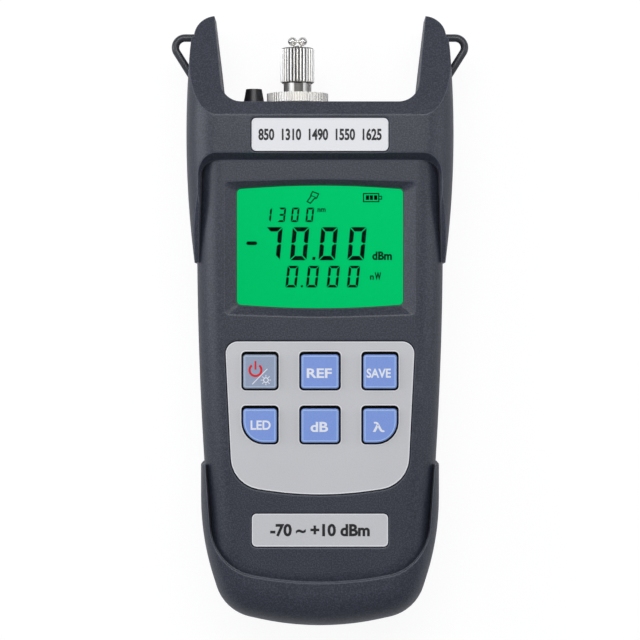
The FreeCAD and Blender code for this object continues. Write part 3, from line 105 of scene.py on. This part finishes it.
class Finish(Tree):
    """A material, with the patterns that its colours and relief are made of."""

    def __init__(self, name):
        self.material = bpy.data.materials.new(name)
        super().__init__(self.material)
        self.place = self.node("ShaderNodeTexCoord", {}, {}, "Object")

    def grain(self, per_metre, detail=2, stretch=None):
        """Noise in the piece's own space; stretch makes streaks."""
        where = self.place
        if stretch:
            where = self.node("ShaderNodeMapping", {}, {"Vector": where, "Scale": stretch})
        return self.node("ShaderNodeTexNoise", {},
                         {"Vector": where, "Scale": per_metre, "Detail": detail})

    def blend(self, mask, first, second):
        """One colour where the mask is 0 and the other where it is 1."""
        return self.node("ShaderNodeMix", {"data_type": "RGBA"}, {0: mask, 6: first, 7: second}, 2)

    def along(self, axis):
        """The place along one axis, in metres."""
        return self.node("ShaderNodeSeparateXYZ", {}, {0: self.place}, axis)

    def bumps(self, height, depth, edge=0.0):
        """Surface relief; an edge radius rounds sharp corners a little."""
        sockets = {"Height": height, "Distance": depth, "Strength": 1.0}
        if edge:
            sockets["Normal"] = self.node("ShaderNodeBevel", {"samples": 6}, {"Radius": edge})
        return self.node("ShaderNodeBump", {}, sockets)

    def done(self, **sockets):
        """Closes the finish with its surface shader."""
        named = {name.replace("_", " ").title().replace("Ior", "IOR"): value
                 for name, value in sockets.items()}
        shader = self.node("ShaderNodeBsdfPrincipled", {}, named)
        self.node("ShaderNodeOutputMaterial", {}, {"Surface": shader})
        return self.material


bpy.ops.object.select_all(action="DESELECT")
bpy.ops.mesh.primitive_plane_add(size=6, location=(0, 0, -0.0002))
table = bpy.context.object
table.name = "table"
table_top = Finish("white_table")
glow_to_camera = table_top.node("ShaderNodeLightPath", {}, {}, "Is Camera Ray") * 0.85
matt = table_top.node("ShaderNodeBsdfDiffuse", {}, {"Color": (0.86, 0.86, 0.87, 1)})
glow = table_top.node("ShaderNodeEmission", {}, {"Color": (1, 1, 1, 1), "Strength": 1.07})
top_mix = table_top.node("ShaderNodeMixShader", {}, {0: glow_to_camera, 1: matt, 2: glow})
table_top.node("ShaderNodeOutputMaterial", {}, {"Surface": top_mix})
table.data.materials.append(table_top.material)

world = bpy.data.worlds.new("studio")
bpy.context.scene.world = world
studio = Tree(world)
to_camera = studio.node("ShaderNodeLightPath", {}, {}, "Is Camera Ray")
room = studio.node("ShaderNodeBackground", {}, {"Color": (0.90, 0.93, 1.0, 1), "Strength": 0.31})
white = studio.node("ShaderNodeBackground", {}, {"Color": (1, 1, 1, 1)})
studio_mix = studio.node("ShaderNodeMixShader", {}, {0: to_camera, 1: room, 2: white})
studio.node("ShaderNodeOutputWorld", {}, {"Surface": studio_mix})

lamp_aim = (0, 0.02, 0.02)


def soft_lamp(name, place, width, height, power, tint=(1, 1, 1)):
    """A rectangular studio lamp that faces the middle of the meter."""
    bpy.ops.object.light_add(type="AREA", location=place)
    lamp = bpy.context.object
    lamp.name = name
    lamp.rotation_euler = (Vector(lamp_aim) - Vector(place)).to_track_quat("-Z", "Y").to_euler()
    lamp.data.shape = "RECTANGLE"
    lamp.data.size = width
    lamp.data.size_y = height
    lamp.data.energy = power
    lamp.data.color = tint


soft_lamp("lamp_above", (0, 0.42, 0.85), 0.8, 0.30, 4.2)
soft_lamp("lamp_left", (-0.75, 0.12, 0.42), 0.2, 0.7, 1.9, (0.90, 0.94, 1))
soft_lamp("lamp_right", (0.75, 0.10, 0.42), 0.2, 0.7, 0.9, (0.92, 0.95, 1))

bpy.context.scene.view_settings.view_transform = "Standard"
camera_height = 0.740
half_depth = 0.0165  # the level of the meter at which the picture's width is measured
picture_width = 0.1849
bpy.ops.object.camera_add(location=(0, 0, camera_height), rotation=(0, 0, 0))
camera = bpy.context.object
camera.data.sensor_width = 36
camera.data.lens = camera.data.sensor_width * (camera_height - half_depth) / picture_width
camera.data.clip_start = 0.01
camera.data.clip_end = 20
bpy.context.scene.camera = camera


# Housing: front and rear half and the battery door, moulded in dark blue-grey plastic.
# The mould was spark eroded, so the faces carry a fine even grain that breaks up the
# highlights, and the edges are a little paler, a painted highlight.

def rgb(red, green, blue):
    """A screen colour, 0 to 255, as a shader takes it."""
    return tuple((v / 255 / 12.92 if v < 11 else ((v / 255 + 0.055) / 1.055) ** 2.4)
                 for v in (red, green, blue)) + (1,)


def coat(names, material):
    """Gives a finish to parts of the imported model."""
    for name in names:
        for slot in nodes[name].material_slots:
            slot.material = material


grain_size = 0.00038
grain_depth = 0.00004
housing = Finish("housing_plastic")
fine = housing.grain(1 / grain_size)
broad = housing.grain(60)
speck = housing.node("ShaderNodeValToRGB", {"stops": [(0.42, (0, 0, 0)), (0.66, (1, 1, 1))]},
                     {"Fac": fine})
plain_shade = housing.blend(speck * 0.75 + broad * 0.2, rgb(33, 37, 48), rgb(69, 73, 86))
# Painted highlight: where a Bevel node's rounded normal parts from the face's own normal, the
# colour goes paler.
softened = housing.node("ShaderNodeBevel", {"samples": 6}, {"Radius": 0.0005})
facing = housing.node("ShaderNodeNewGeometry", {}, {}, "Normal")
agreement = housing.node("ShaderNodeVectorMath", {"operation": "DOT_PRODUCT"},
                         {0: softened, 1: facing}, 1)
edge_highlight_mask = housing.node("ShaderNodeMapRange", {},
                       {"Value": agreement, "From Min": 0.992, "From Max": 0.93})
coat(["front_case", "rear_case", "battery_door"], housing.done(
    base_color=housing.blend(edge_highlight_mask * 0.55, plain_shade, rgb(122, 126, 140)),
    roughness=broad * 0.08 + 0.36, specular_ior_level=0.6,
    normal=housing.bumps(fine, grain_depth, 0.0007)))


# Lanyard loops: one moulded rod each, bent to a drop shape and trapped between the halves.
# They come from a polished mould, so they are smoother than the housing.

loops = Finish("loop_plastic")
loop_mottle = loops.grain(900)
coat(["lanyard_loop_left", "lanyard_loop_right"], loops.done(
    base_color=loops.blend(loop_mottle, rgb(48, 50, 56), rgb(66, 69, 76)),
    roughness=loop_mottle * 0.1 + 0.3, normal=loops.bumps(loop_mottle, 0.00002)))


# Display: a backlit module behind a clear window that is bonded in the housing.
# The glass glows green, evenly but for a slow fall towards its lower left, and the dark
# segments are etched on its front face.

def speckled(name, per_metre, colour, light, **surface):
    """A plain finish whose colour wavers between two close shades."""
    finish = Finish(name)
    return finish.done(base_color=finish.blend(finish.grain(per_metre), colour, light), **surface)


backlit = Finish("backlit_display")
drift = backlit.along(0) * 2.2 + backlit.along(1) * 5 + backlit.grain(25) * 0.25
coat(["lcd_glass"], backlit.done(
    base_color=rgb(0, 20, 10), roughness=0.5, specular_ior_level=0.0,
    emission_color=backlit.blend(drift, rgb(0, 194, 104), rgb(2, 216, 122)),
    emission_strength=0.93))
coat(["lcd_backlight"],
     speckled("light_guide", 800, rgb(120, 215, 160), rgb(160, 235, 190), roughness=0.3))
coat(["lcd_frame"],
     speckled("display_frame", 700, rgb(205, 206, 202), rgb(225, 226, 222), roughness=0.5))
coat(["lcd_window"], Finish("clear_window").done(
    base_color=(1, 1, 1, 1), roughness=0.0, transmission_weight=1.0, ior=1.1))

print_thickness = 0.00006
glass_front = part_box("lcd_glass")[1][2]


def thickened(thickness):
    """Gives the flat piece in hand a thickness, with its faces turned outwards."""
    bpy.ops.object.mode_set(mode="EDIT")
    bpy.ops.mesh.select_all(action="SELECT")
    bpy.ops.mesh.extrude_region_move(TRANSFORM_OT_translate={"value": (0, 0, thickness)})
    bpy.ops.mesh.select_all(action="SELECT")
    bpy.ops.mesh.normals_make_consistent(inside=False)
    bpy.ops.object.mode_set(mode="OBJECT")
    return bpy.context.object


def flat_shape(points, height):
    """A thin plate with this outline, in millimetres, on a face at that height."""
    bpy.ops.object.select_all(action="DESELECT")
    bpy.ops.mesh.primitive_circle_add(vertices=len(points), radius=0.001, fill_type="NGON")
    for vertex, (x, y) in zip(bpy.context.object.data.vertices, points):
        vertex.co = (x / 1000, y / 1000, height)
    return thickened(print_thickness)


def ring(outer, inner, height, thickness=print_thickness):
    """A thin flat ring between two outlines with as many points each."""
    bpy.ops.object.select_all(action="DESELECT")
    bpy.ops.mesh.primitive_cylinder_add(vertices=len(outer), radius=0.001, depth=0.001,
                                        end_fill_type="NOTHING")
    for index, vertex in enumerate(bpy.context.object.data.vertices):
        x, y = (inner if vertex.co.z > 0 else outer)[index // 2]
        vertex.co = (x / 1000, y / 1000, height)
    return thickened(thickness)


def rounded(corners):
    """Points of an outline whose corners (x, y, radius) are rounded, in millimetres."""
    steps = 6
    points = []
    for index, (x, y, radius) in enumerate(corners):
        here = Vector((x, y))
        before = (Vector(corners[index - 1][:2]) - here).normalized()
        after = (Vector(corners[(index + 1) % len(corners)][:2]) - here).normalized()
        half = before.angle(after) / 2
        centre = here + (before + after).normalized() * radius / math.sin(half)
        first = here + before * radius / math.tan(half) - centre
        last = here + after * radius / math.tan(half) - centre
        swing = first.angle_signed(last)
        for step in range(steps + 1):
            turn = -swing * step / steps
            points.append((centre.x + first.x * math.cos(turn) - first.y * math.sin(turn),
                           centre.y + first.x * math.sin(turn) + first.y * math.cos(turn)))
    return points


def strip(points, width, height, closed=False):
    """A printed line of one width along these points, in millimetres."""
    parts = []
    ends = zip(points, points[1:] + points[:1]) if closed else zip(points, points[1:])
    for (x0, y0), (x1, y1) in ends:
        length = math.hypot(x1 - x0, y1 - y0)
        u, v = (x1 - x0) / length * width / 2, (y1 - y0) / length * width / 2
        parts.append(flat_shape([(x0 - u - v, y0 - v + u), (x0 - u + v, y0 - v - u),
                                 (x1 + u + v, y1 + v - u), (x1 + u - v, y1 + v + u)], height))
    return parts


def words(text, x, y, height, width, level, weight):
    """Printed characters centred on a point, fitted to a height and a width in millimetres."""
    bpy.ops.object.select_all(action="DESELECT")
    bpy.ops.object.text_add(location=(0, 0, 0))
    line = bpy.context.object
    line.data.body = text
    line.data.offset = weight
    line.data.extrude = 0.01
    line.data.resolution_u = 4
    bpy.ops.object.convert(target="MESH")
    line = bpy.context.object
    spots = [v.co.copy() for v in line.data.vertices]
    low = [min(p[i] for p in spots) for i in range(2)]
    high = [max(p[i] for p in spots) for i in range(2)]
    for vertex, spot in zip(line.data.vertices, spots):
        vertex.co = (
            (x + ((spot[0] - low[0]) / (high[0] - low[0]) - 0.5) * width) / 1000,
            (y + ((spot[1] - low[1]) / (high[1] - low[1]) - 0.5) * height) / 1000,
            level + (print_thickness if spot[2] > 0 else 0),
        )
    return line


def joined(pieces, name, material, body="housing"):
    """Makes one piece of several, which rides on a body and takes its finish from a slot."""
    bpy.ops.object.select_all(action="DESELECT")
    for piece in pieces:
        piece.select_set(True)
    bpy.context.view_layer.objects.active = pieces[0]
    if len(pieces) > 1:
        bpy.ops.object.join()
    whole = bpy.context.object
    whole.name = name
    whole.data.materials.clear()
    whole.data.materials.append(material)
    bpy.ops.object.transform_apply(location=True, rotation=True, scale=True)
    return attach(whole, body)


LIT_SEGMENTS = {"0": "abcdef", "1": "bc", "3": "abcdg", "7": "abc"}


def digit(mark, left, bottom, width, height, bar, lean):
    """The segments of one digit; its box is given in millimetres and leans to the right."""
    half = bar / 2
    gap = bar * 0.18
    middle = height / 2
    across = [(gap, 0), (width - gap, 0), (width - bar - gap * 0.6, bar), (bar + gap * 0.6, bar)]
    upright = [(width, gap), (width, middle - gap), (width - half, middle - gap * 0.5),
               (width - bar, middle - half), (width - bar, bar + gap)]
    dash = [(half + gap, middle), (bar + gap, middle - half), (width - bar - gap, middle - half),
            (width - half - gap, middle), (width - bar - gap, middle + half),
            (bar + gap, middle + half)]
    segments = {
        "a": [(x, height - y) for x, y in across],
        "b": [(x, height - y) for x, y in upright],
        "c": upright,
        "d": across,
        "e": [(width - x, y) for x, y in upright],
        "f": [(width - x, height - y) for x, y in upright],
        "g": dash,
    }
    return [flat_shape([(left + x + y * lean, bottom + y) for x, y in segments[name]], glass_front)
            for name in LIT_SEGMENTS[mark]]


# Each row: its digits, their left ends, bottom, width, height, bar and lean.
DIGIT_ROWS = [
    ("7000", (-16.20, -8.60, -0.45, 7.75), 17.02, 4.75, 9.45, 1.24, 0.09),
    ("0000", (-9.90, -4.05, 1.85, 7.60), 9.26, 3.20, 6.20, 0.76, 0.11),
    ("1300", (-16.20, -12.20, -8.40, -4.20), 27.90, 2.15, 4.15, 0.56, 0.11),
]
marks = []
for row, lefts, *shape in DIGIT_ROWS:
    for mark, left in zip(row, lefts):
        marks += digit(mark, left, *shape)
for x, y, side in ((-2.22, 17.12, 0.86), (-5.50, 9.32, 0.60)):
    marks.append(flat_shape([(x, y), (x + side, y), (x + side * 1.1, y + side),
                             (x + side * 0.1, y + side)], glass_front))
minus = [(-21.10, 21.88), (-20.70, 21.35), (-18.25, 21.35), (-17.80, 21.88), (-18.25, 22.40),
         (-20.70, 22.40)]
marks.append(flat_shape(minus, glass_front))
battery_outline = [(12.40, 36.02), (16.75, 36.02), (16.75, 33.72), (12.40, 33.72)]
battery_knob = [(16.85, 35.25), (17.58, 35.25), (17.58, 34.45), (16.85, 34.45)]
marks += strip(battery_outline, 0.32, glass_front, True)
marks += strip(battery_knob, 0.28, glass_front)
for left in (13.05, 14.18, 15.40):
    right = left + 0.95
    marks.append(flat_shape([(left, 34.22), (right, 34.22), (right, 35.55), (left, 35.55)],
                            glass_front))
torch_outline = [(-3.64, 33.77), (-2.62, 35.25), (-2.58, 35.69), (-2.12, 36.60), (-0.40, 35.94),
                 (-0.96, 34.72), (-1.62, 34.62), (-2.73, 33.26)]
marks += strip(torch_outline, 0.32, glass_front, True)
marks += strip([(-2.55, 35.50), (-1.30, 34.95)], 0.24, glass_front)
for unit, x, y, height, width, weight in (
    ("dBm", 17.70, 18.32, 2.45, 5.60, 0.036),
    ("n", 14.80, 12.10, 1.25, 1.10, 0.03),
    ("W", 16.52, 12.50, 2.20, 1.85, 0.045),
    ("nm", 0.45, 31.30, 1.10, 2.35, 0.03),
):
    marks.append(words(unit, x, y, height, width, glass_front, weight))
joined(marks, "display_marks", speckled("display_ink", 3000, rgb(1, 20, 13), rgb(2, 30, 19),
                                        roughness=0.7, specular_ior_level=0.05))


def screen_line(shrink):
    """The display opening, drawn smaller by this many millimetres all round."""
    middle, corner, bow = 20.8, 1.4 - shrink, 250
    half, high, point = 23.8 - shrink, 16.6 - shrink, 18.2 - shrink
    return rounded([(-half, middle - high, corner), (0, middle - point, bow),
                    (half, middle - high, corner), (half, middle + high, corner),
                    (0, middle + point, bow), (-half, middle + high, corner)])


# Painted shade: a dark band on the window just inside the opening, where the opening's wall shades
# the glass.
joined([ring(screen_line(0.02), screen_line(0.20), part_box("lcd_window")[1][2])], "window_edge",
       speckled("window_edge_painted_shade", 3000, rgb(34, 24, 50), rgb(46, 34, 64), roughness=0.4))


# Keypad plate: thin aluminium sheet painted satin silver and glued in its recess.
# Its edge and the rims of its six openings are rolled over, their highlight painted in paler
# silver.

def satin(name, colour, light, roughness):
    """Sprayed silver paint: very fine flakes over a slow change of shade."""
    finish = Finish(name)
    flakes = finish.grain(4200, 3)
    cloud = finish.grain(45)
    return finish.done(base_color=finish.blend(flakes * 0.7 + cloud * 0.3, colour, light),
                       roughness=flakes * 0.15 + roughness, normal=finish.bumps(flakes, 0.00001))


def plate_line(grow):
    """The keypad plate's outline, larger by this many millimetres all round."""
    return rounded([
        (26.9 + grow, -6.1 + grow, 3.4 + grow), (-26.9 - grow, -6.1 + grow, 3.4 + grow),
        (-24.9 - grow, -46.8 - grow, 9.2 + grow), (0, -50.6 - grow, 100 + grow),
        (24.9 + grow, -46.8 - grow, 9.2 + grow)])


def panel_line(x, y, width, height, corner, grow, lower_left=None, lower_right=None):
    """A rounded rectangle about its middle; a lower corner may have a radius of its own."""
    across, up = width / 2 + grow, height / 2 + grow
    return rounded([(x - across, y - up, (lower_left or corner) + grow),
                    (x + across, y - up, (lower_right or corner) + grow),
                    (x + across, y + up, corner + grow), (x - across, y + up, corner + grow)])


# Each key: its name, finish, middle and width, and the larger radius of an outer lower corner.
KEYS = [
    ("power", "grey_key", -17, -14.6, 9.9, {}),
    ("ref", "blue_key", 0, -14.6, 11.1, {}),
    ("save", "blue_key", 17, -14.6, 9.9, {}),
    ("led", "blue_key", -17, -29.9, 9.9, {"lower_left": 6}),
    ("db", "blue_key", 0, -29.9, 11.1, {}),
    ("wavelength", "blue_key", 17, -29.9, 9.9, {"lower_right": 6}),
]
key_corner = 0.9
opening_height = 10.35
opening_rise = 0.15  # an opening leaves more room above its key than below it
rim_outside, rim_inside = 0.66, 0.37
plate_silver = satin("plate_silver", rgb(197, 196, 198), rgb(224, 223, 224), 0.38)
coat(["keypad_plate"], plate_silver)
# Painted highlight: the rims' paler silver stands for the light that the rolled edges catch.
rim_highlight_silver = satin("rolled_rim_painted_highlight", rgb(232, 232, 234), rgb(246, 246, 248), 0.3)
plate_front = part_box("keypad_plate")[1][2]
rims = [ring(plate_line(-0.02), plate_line(-0.30), plate_front)]
for _, _, x, y, width, big in KEYS:
    outer, inner = (panel_line(x, y + opening_rise, width, opening_height, key_corner, grow, **big)
                    for grow in (rim_outside, rim_inside))
    rims.append(ring(outer, inner, plate_front))
joined(rims, "keypad_rims", rim_highlight_silver)


# Keys: firm rubber caps with printed legends, each on its plunger in the soft mat.
# The faces are satin and slightly mottled, with a pale line at the edge that is a painted
# highlight; the flanks are painted black as shade in the gaps, and the power key is grey.

def rubber(name, colour, light, black_shade_below=-1.0):
    """Satin rubber; a key's flanks, below a level, are painted black as shade."""
    finish = Finish(name)
    mottle = finish.grain(2600, 3)
    face = finish.blend(mottle, colour, light)
    return finish.done(
        # Painted shade: below the level, the base colour goes black.
        base_color=finish.blend(finish.along(2) < black_shade_below, face, rgb(6, 6, 8)),
        roughness=mottle * 0.1 + 0.42, normal=finish.bumps(mottle, 0.00002))


key_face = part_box("key_power")[1][2]
crown_level = key_face - 0.0003
coat(["key_ref", "key_save", "key_led", "key_db", "key_wavelength"],
     rubber("blue_rubber", rgb(120, 150, 222), rgb(142, 171, 238), crown_level))
coat(["key_power"], rubber("grey_rubber", rgb(146, 159, 184), rgb(164, 177, 201), crown_level))
# The mat's own dark rubber, darkened further as painted shade so the gaps round the keys read
# black.
coat(["keypad_mat"], rubber("mat_rubber_and_shade", rgb(10, 10, 12), rgb(18, 18, 20)))

key_height = 10.05
edge_outside, edge_inside = -0.58, -0.84
edge_thickness = 0.00003
# Painted highlight: thin rings paler than the key face stand for light on the keys' rounded edges.
key_edge_highlights = {"blue_key": rubber("blue_edge_highlight", rgb(160, 194, 244), rgb(182, 212, 250)),
              "grey_key": rubber("grey_edge_highlight", rgb(176, 194, 216), rgb(196, 212, 230))}
for name, slot, x, y, width, big in KEYS:
    outer, inner = (panel_line(x, y, width, key_height, key_corner, grow, **big)
                    for grow in (edge_outside, edge_inside))
    joined([ring(outer, inner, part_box("key_" + name)[1][2], edge_thickness)],
           "edge_" + name, key_edge_highlights[slot], "button_" + name)

legend_white = speckled("white_legend", 3000, rgb(232, 236, 246), rgb(248, 250, 255),
                        roughness=0.45)
legend_red = speckled("red_legend", 3000, rgb(218, 4, 14), rgb(232, 12, 22), roughness=0.45)
for text, node, body, x, y, height, width in (
    ("REF", "key_ref", "button_ref", -0.20, -15.05, 2.72, 7.10),
    ("SAVE", "key_save", "button_save", 16.60, -15.05, 2.64, 6.90),
    ("LED", "key_led", "button_led", -16.80, -29.75, 2.66, 5.70),
    ("dB", "key_db", "button_db", -0.20, -30.25, 2.85, 5.00),
    ("λ", "key_wavelength", "button_wavelength", 16.60, -30.25, 2.90, 3.40),
):
    joined([words(text, x, y, height, width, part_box(node)[1][2], 0.028)],
           "legend_" + node[4:], legend_white, body)


def band(x, y, inner, outer, start, end, steps):
    """Part of a ring, in millimetres, between two angles in degrees."""
    turns = [math.radians(start + (end - start) * i / steps) for i in range(steps + 1)]
    outside = [(x + outer * math.cos(turn), y + outer * math.sin(turn)) for turn in turns]
    inside = [(x + inner * math.cos(turn), y + inner * math.sin(turn)) for turn in turns]
    return flat_shape(outside + inside[::-1], key_face)


power_bar = [(-18.50, -14.05), (-18.00, -14.05), (-18.00, -11.60), (-18.50, -11.60)]
joined([band(-18.25, -14.15, 1.38, 1.98, -232, 52, 28), flat_shape(power_bar, key_face)],
       "legend_power", legend_red, "button_power")

sun_x, sun_y = -15.30, -17.00
sun = [band(sun_x, sun_y, 0.52, 0.80, start, start + 180, 12) for start in (0, 180)]
for step in range(8):
    turn = math.radians(45 * step)
    sun += strip([(sun_x + 1.02 * math.cos(turn), sun_y + 1.02 * math.sin(turn)),
                  (sun_x + 1.38 * math.cos(turn), sun_y + 1.38 * math.sin(turn))], 0.20, key_face)
slash = strip([(-14.95, -13.90), (-19.10, -18.10)], 0.24, key_face)
joined(sun + slash, "legend_light", legend_white, "button_power")


# Nameplates: printed aluminium in two shallow recesses, each with a fine raised border.
# They carry plain numbers only: the wavelengths and the range that the meter reads.

coat(["top_nameplate"],
     satin("upper_plate_silver", rgb(236, 236, 237), rgb(248, 248, 249), 0.35))
coat(["bottom_nameplate"], plate_silver)
plate_black = speckled("plate_ink", 2500, rgb(18, 18, 20), rgb(30, 30, 33), roughness=0.45)
top_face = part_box("top_nameplate")[1][2]
low_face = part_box("bottom_nameplate")[1][2]
top_y, low_y = 52.4, -59.6
joined([words("850  1310  1490  1550  1625", 0, top_y, 3.4, 34.8, top_face, 0.032)],
       "top_plate_numbers", plate_black)
joined([words("-70 ~ +10 dBm", 0, low_y, 3.6, 28.2, low_face, 0.036)],
       "bottom_plate_numbers", plate_black)
# The borders take the rims' paler silver, a painted highlight along their edges.
for name, y, face, border in (("top_plate_border", top_y, top_face, 0.35),
                              ("bottom_plate_border", low_y, low_face, 0.32)):
    outer, inner = (panel_line(0, y, 38.6, 9.3, 1.3, grow) for grow in (-0.02, -border))
    joined([ring(outer, inner, face)], name, rim_highlight_silver)


# Fibre port: turned brass, plated with bright nickel.
# The disc's rim and the cap are knurled, the barrel is threaded and keyed, and two small
# beads of the chain's end lie on the cap. A ceramic sleeve in the barrel takes the ferrule.

port_x, port_z = -0.0065, 0.016
barrel_outside = 0.0043
thread_start = 0.0685
thread_pitch = 0.00075


def from_axis(finish):
    """Distance from the port's axis, and the angle round it, of a place on a turned piece."""
    across = finish.along(0) - port_x
    upright = finish.along(2) - port_z
    distance = (across * across + upright * upright).calculate("SQRT")
    return distance, across.calculate("ARCTAN2", upright)


def knurl_groove_shade(finish):
    """Painted shade in the grooves of the cap's knurl."""
    distance, _ = from_axis(finish)
    depth = finish.node("ShaderNodeMapRange", {},
                        {"Value": distance, "From Min": 0.00485, "From Max": 0.0045})
    return depth * (distance > 0.0044)


def barrel_painted_shade(finish):
    """Painted shade: dark bands between the flats of the barrel's neck, and dark grooves in its
    thread.
    """
    distance, angle = from_axis(finish)
    along = finish.along(1)
    on_barrel = distance < barrel_outside
    flats = (angle * 4 + 1.2).calculate("SINE")
    neck = (flats > 0.25) * on_barrel * (along < thread_start) * 0.85
    turns = (along * (2 * math.pi / thread_pitch) + angle).calculate("SINE")
    grooves = (turns < 0) * on_barrel * (distance > 0.0038) * (along > thread_start) * 0.7
    return neck + grooves


def plated(name, colour, light, roughness, painted_shade=None):
    """Bright plating over turned metal, with faint marks left by the tool and any painted shade."""
    finish = Finish(name)
    tool_marks = finish.grain(500, 2, (1, 12, 1))
    shade = finish.blend(tool_marks, colour, light)
    if painted_shade:
        # Painted shade: dark grey where the shade mask is set.
        shade = finish.blend(painted_shade(finish), shade, rgb(52, 51, 52))
    return finish.done(base_color=shade, metallic=1.0, roughness=tool_marks * 0.08 + roughness)


coat(["cap_rivet", "chain_beads", "port_nut", "detector_port"],
     plated("bright_nickel", rgb(224, 221, 216), rgb(244, 241, 236), 0.2))
coat(["dust_cap"],
     plated("knurled_nickel", rgb(244, 242, 238), rgb(255, 253, 249), 0.34, knurl_groove_shade))
coat(["fibre_adapter"],
     plated("turned_nickel", rgb(222, 219, 214), rgb(240, 237, 231), 0.38, barrel_painted_shade))
coat(["ferrule_sleeve"],
     speckled("ceramic_sleeve", 900, rgb(236, 236, 232), rgb(246, 246, 243), roughness=0.2))


# Torch: a turned black plastic cone with a clear lamp set back in its end.
# The turning left faint rings along the cone, and the lamp is cast in clear resin.

cone = Finish("torch_black")
cone_marks = cone.grain(600, 2, (1, 6, 1))
coat(["torch_bezel"], cone.done(base_color=cone.blend(cone_marks, rgb(18, 18, 20), rgb(36, 36, 40)),
                                roughness=cone_marks * 0.1 + 0.32))
coat(["torch_led"], speckled("lamp_resin", 400, rgb(235, 240, 248), rgb(250, 252, 255),
                             roughness=0.08, transmission_weight=0.6))


# Inside: circuit boards under green mask, the processor moulded in black resin, the steel
# screws, and three cells in printed wrappers, held between sprung and flat steel contacts.

solder_mask = Finish("solder_mask")
tracks = solder_mask.node("ShaderNodeTexBrick", {"offset": 0.5}, {
    "Vector": solder_mask.place, "Color1": rgb(10, 74, 36), "Color2": rgb(14, 86, 42),
    "Mortar": rgb(6, 52, 26), "Scale": 260, "Mortar Size": 0.03})
coat(["main_board", "detector_board"], solder_mask.done(base_color=tracks, roughness=0.35))
coat(["main_chip"],
     speckled("chip_moulding", 3000, rgb(20, 20, 21), rgb(34, 34, 36), roughness=0.6))
coat(["photodiode", "case_screws", "board_screws"],
     plated("plain_steel", rgb(150, 150, 152), rgb(176, 176, 178), 0.3))
coat(["contact_springs", "contact_plates"],
     plated("spring_steel", rgb(190, 190, 188), rgb(214, 214, 212), 0.22))
wrapper = Finish("cell_wrapper")
copper_end = wrapper.along(1) > -0.0255
coat(["battery_1", "battery_2", "battery_3"], wrapper.done(
    base_color=wrapper.blend(copper_end, rgb(40, 42, 46), rgb(176, 134, 72)),
    metallic=copper_end * 0.6, roughness=wrapper.grain(200) * 0.1 + 0.25))
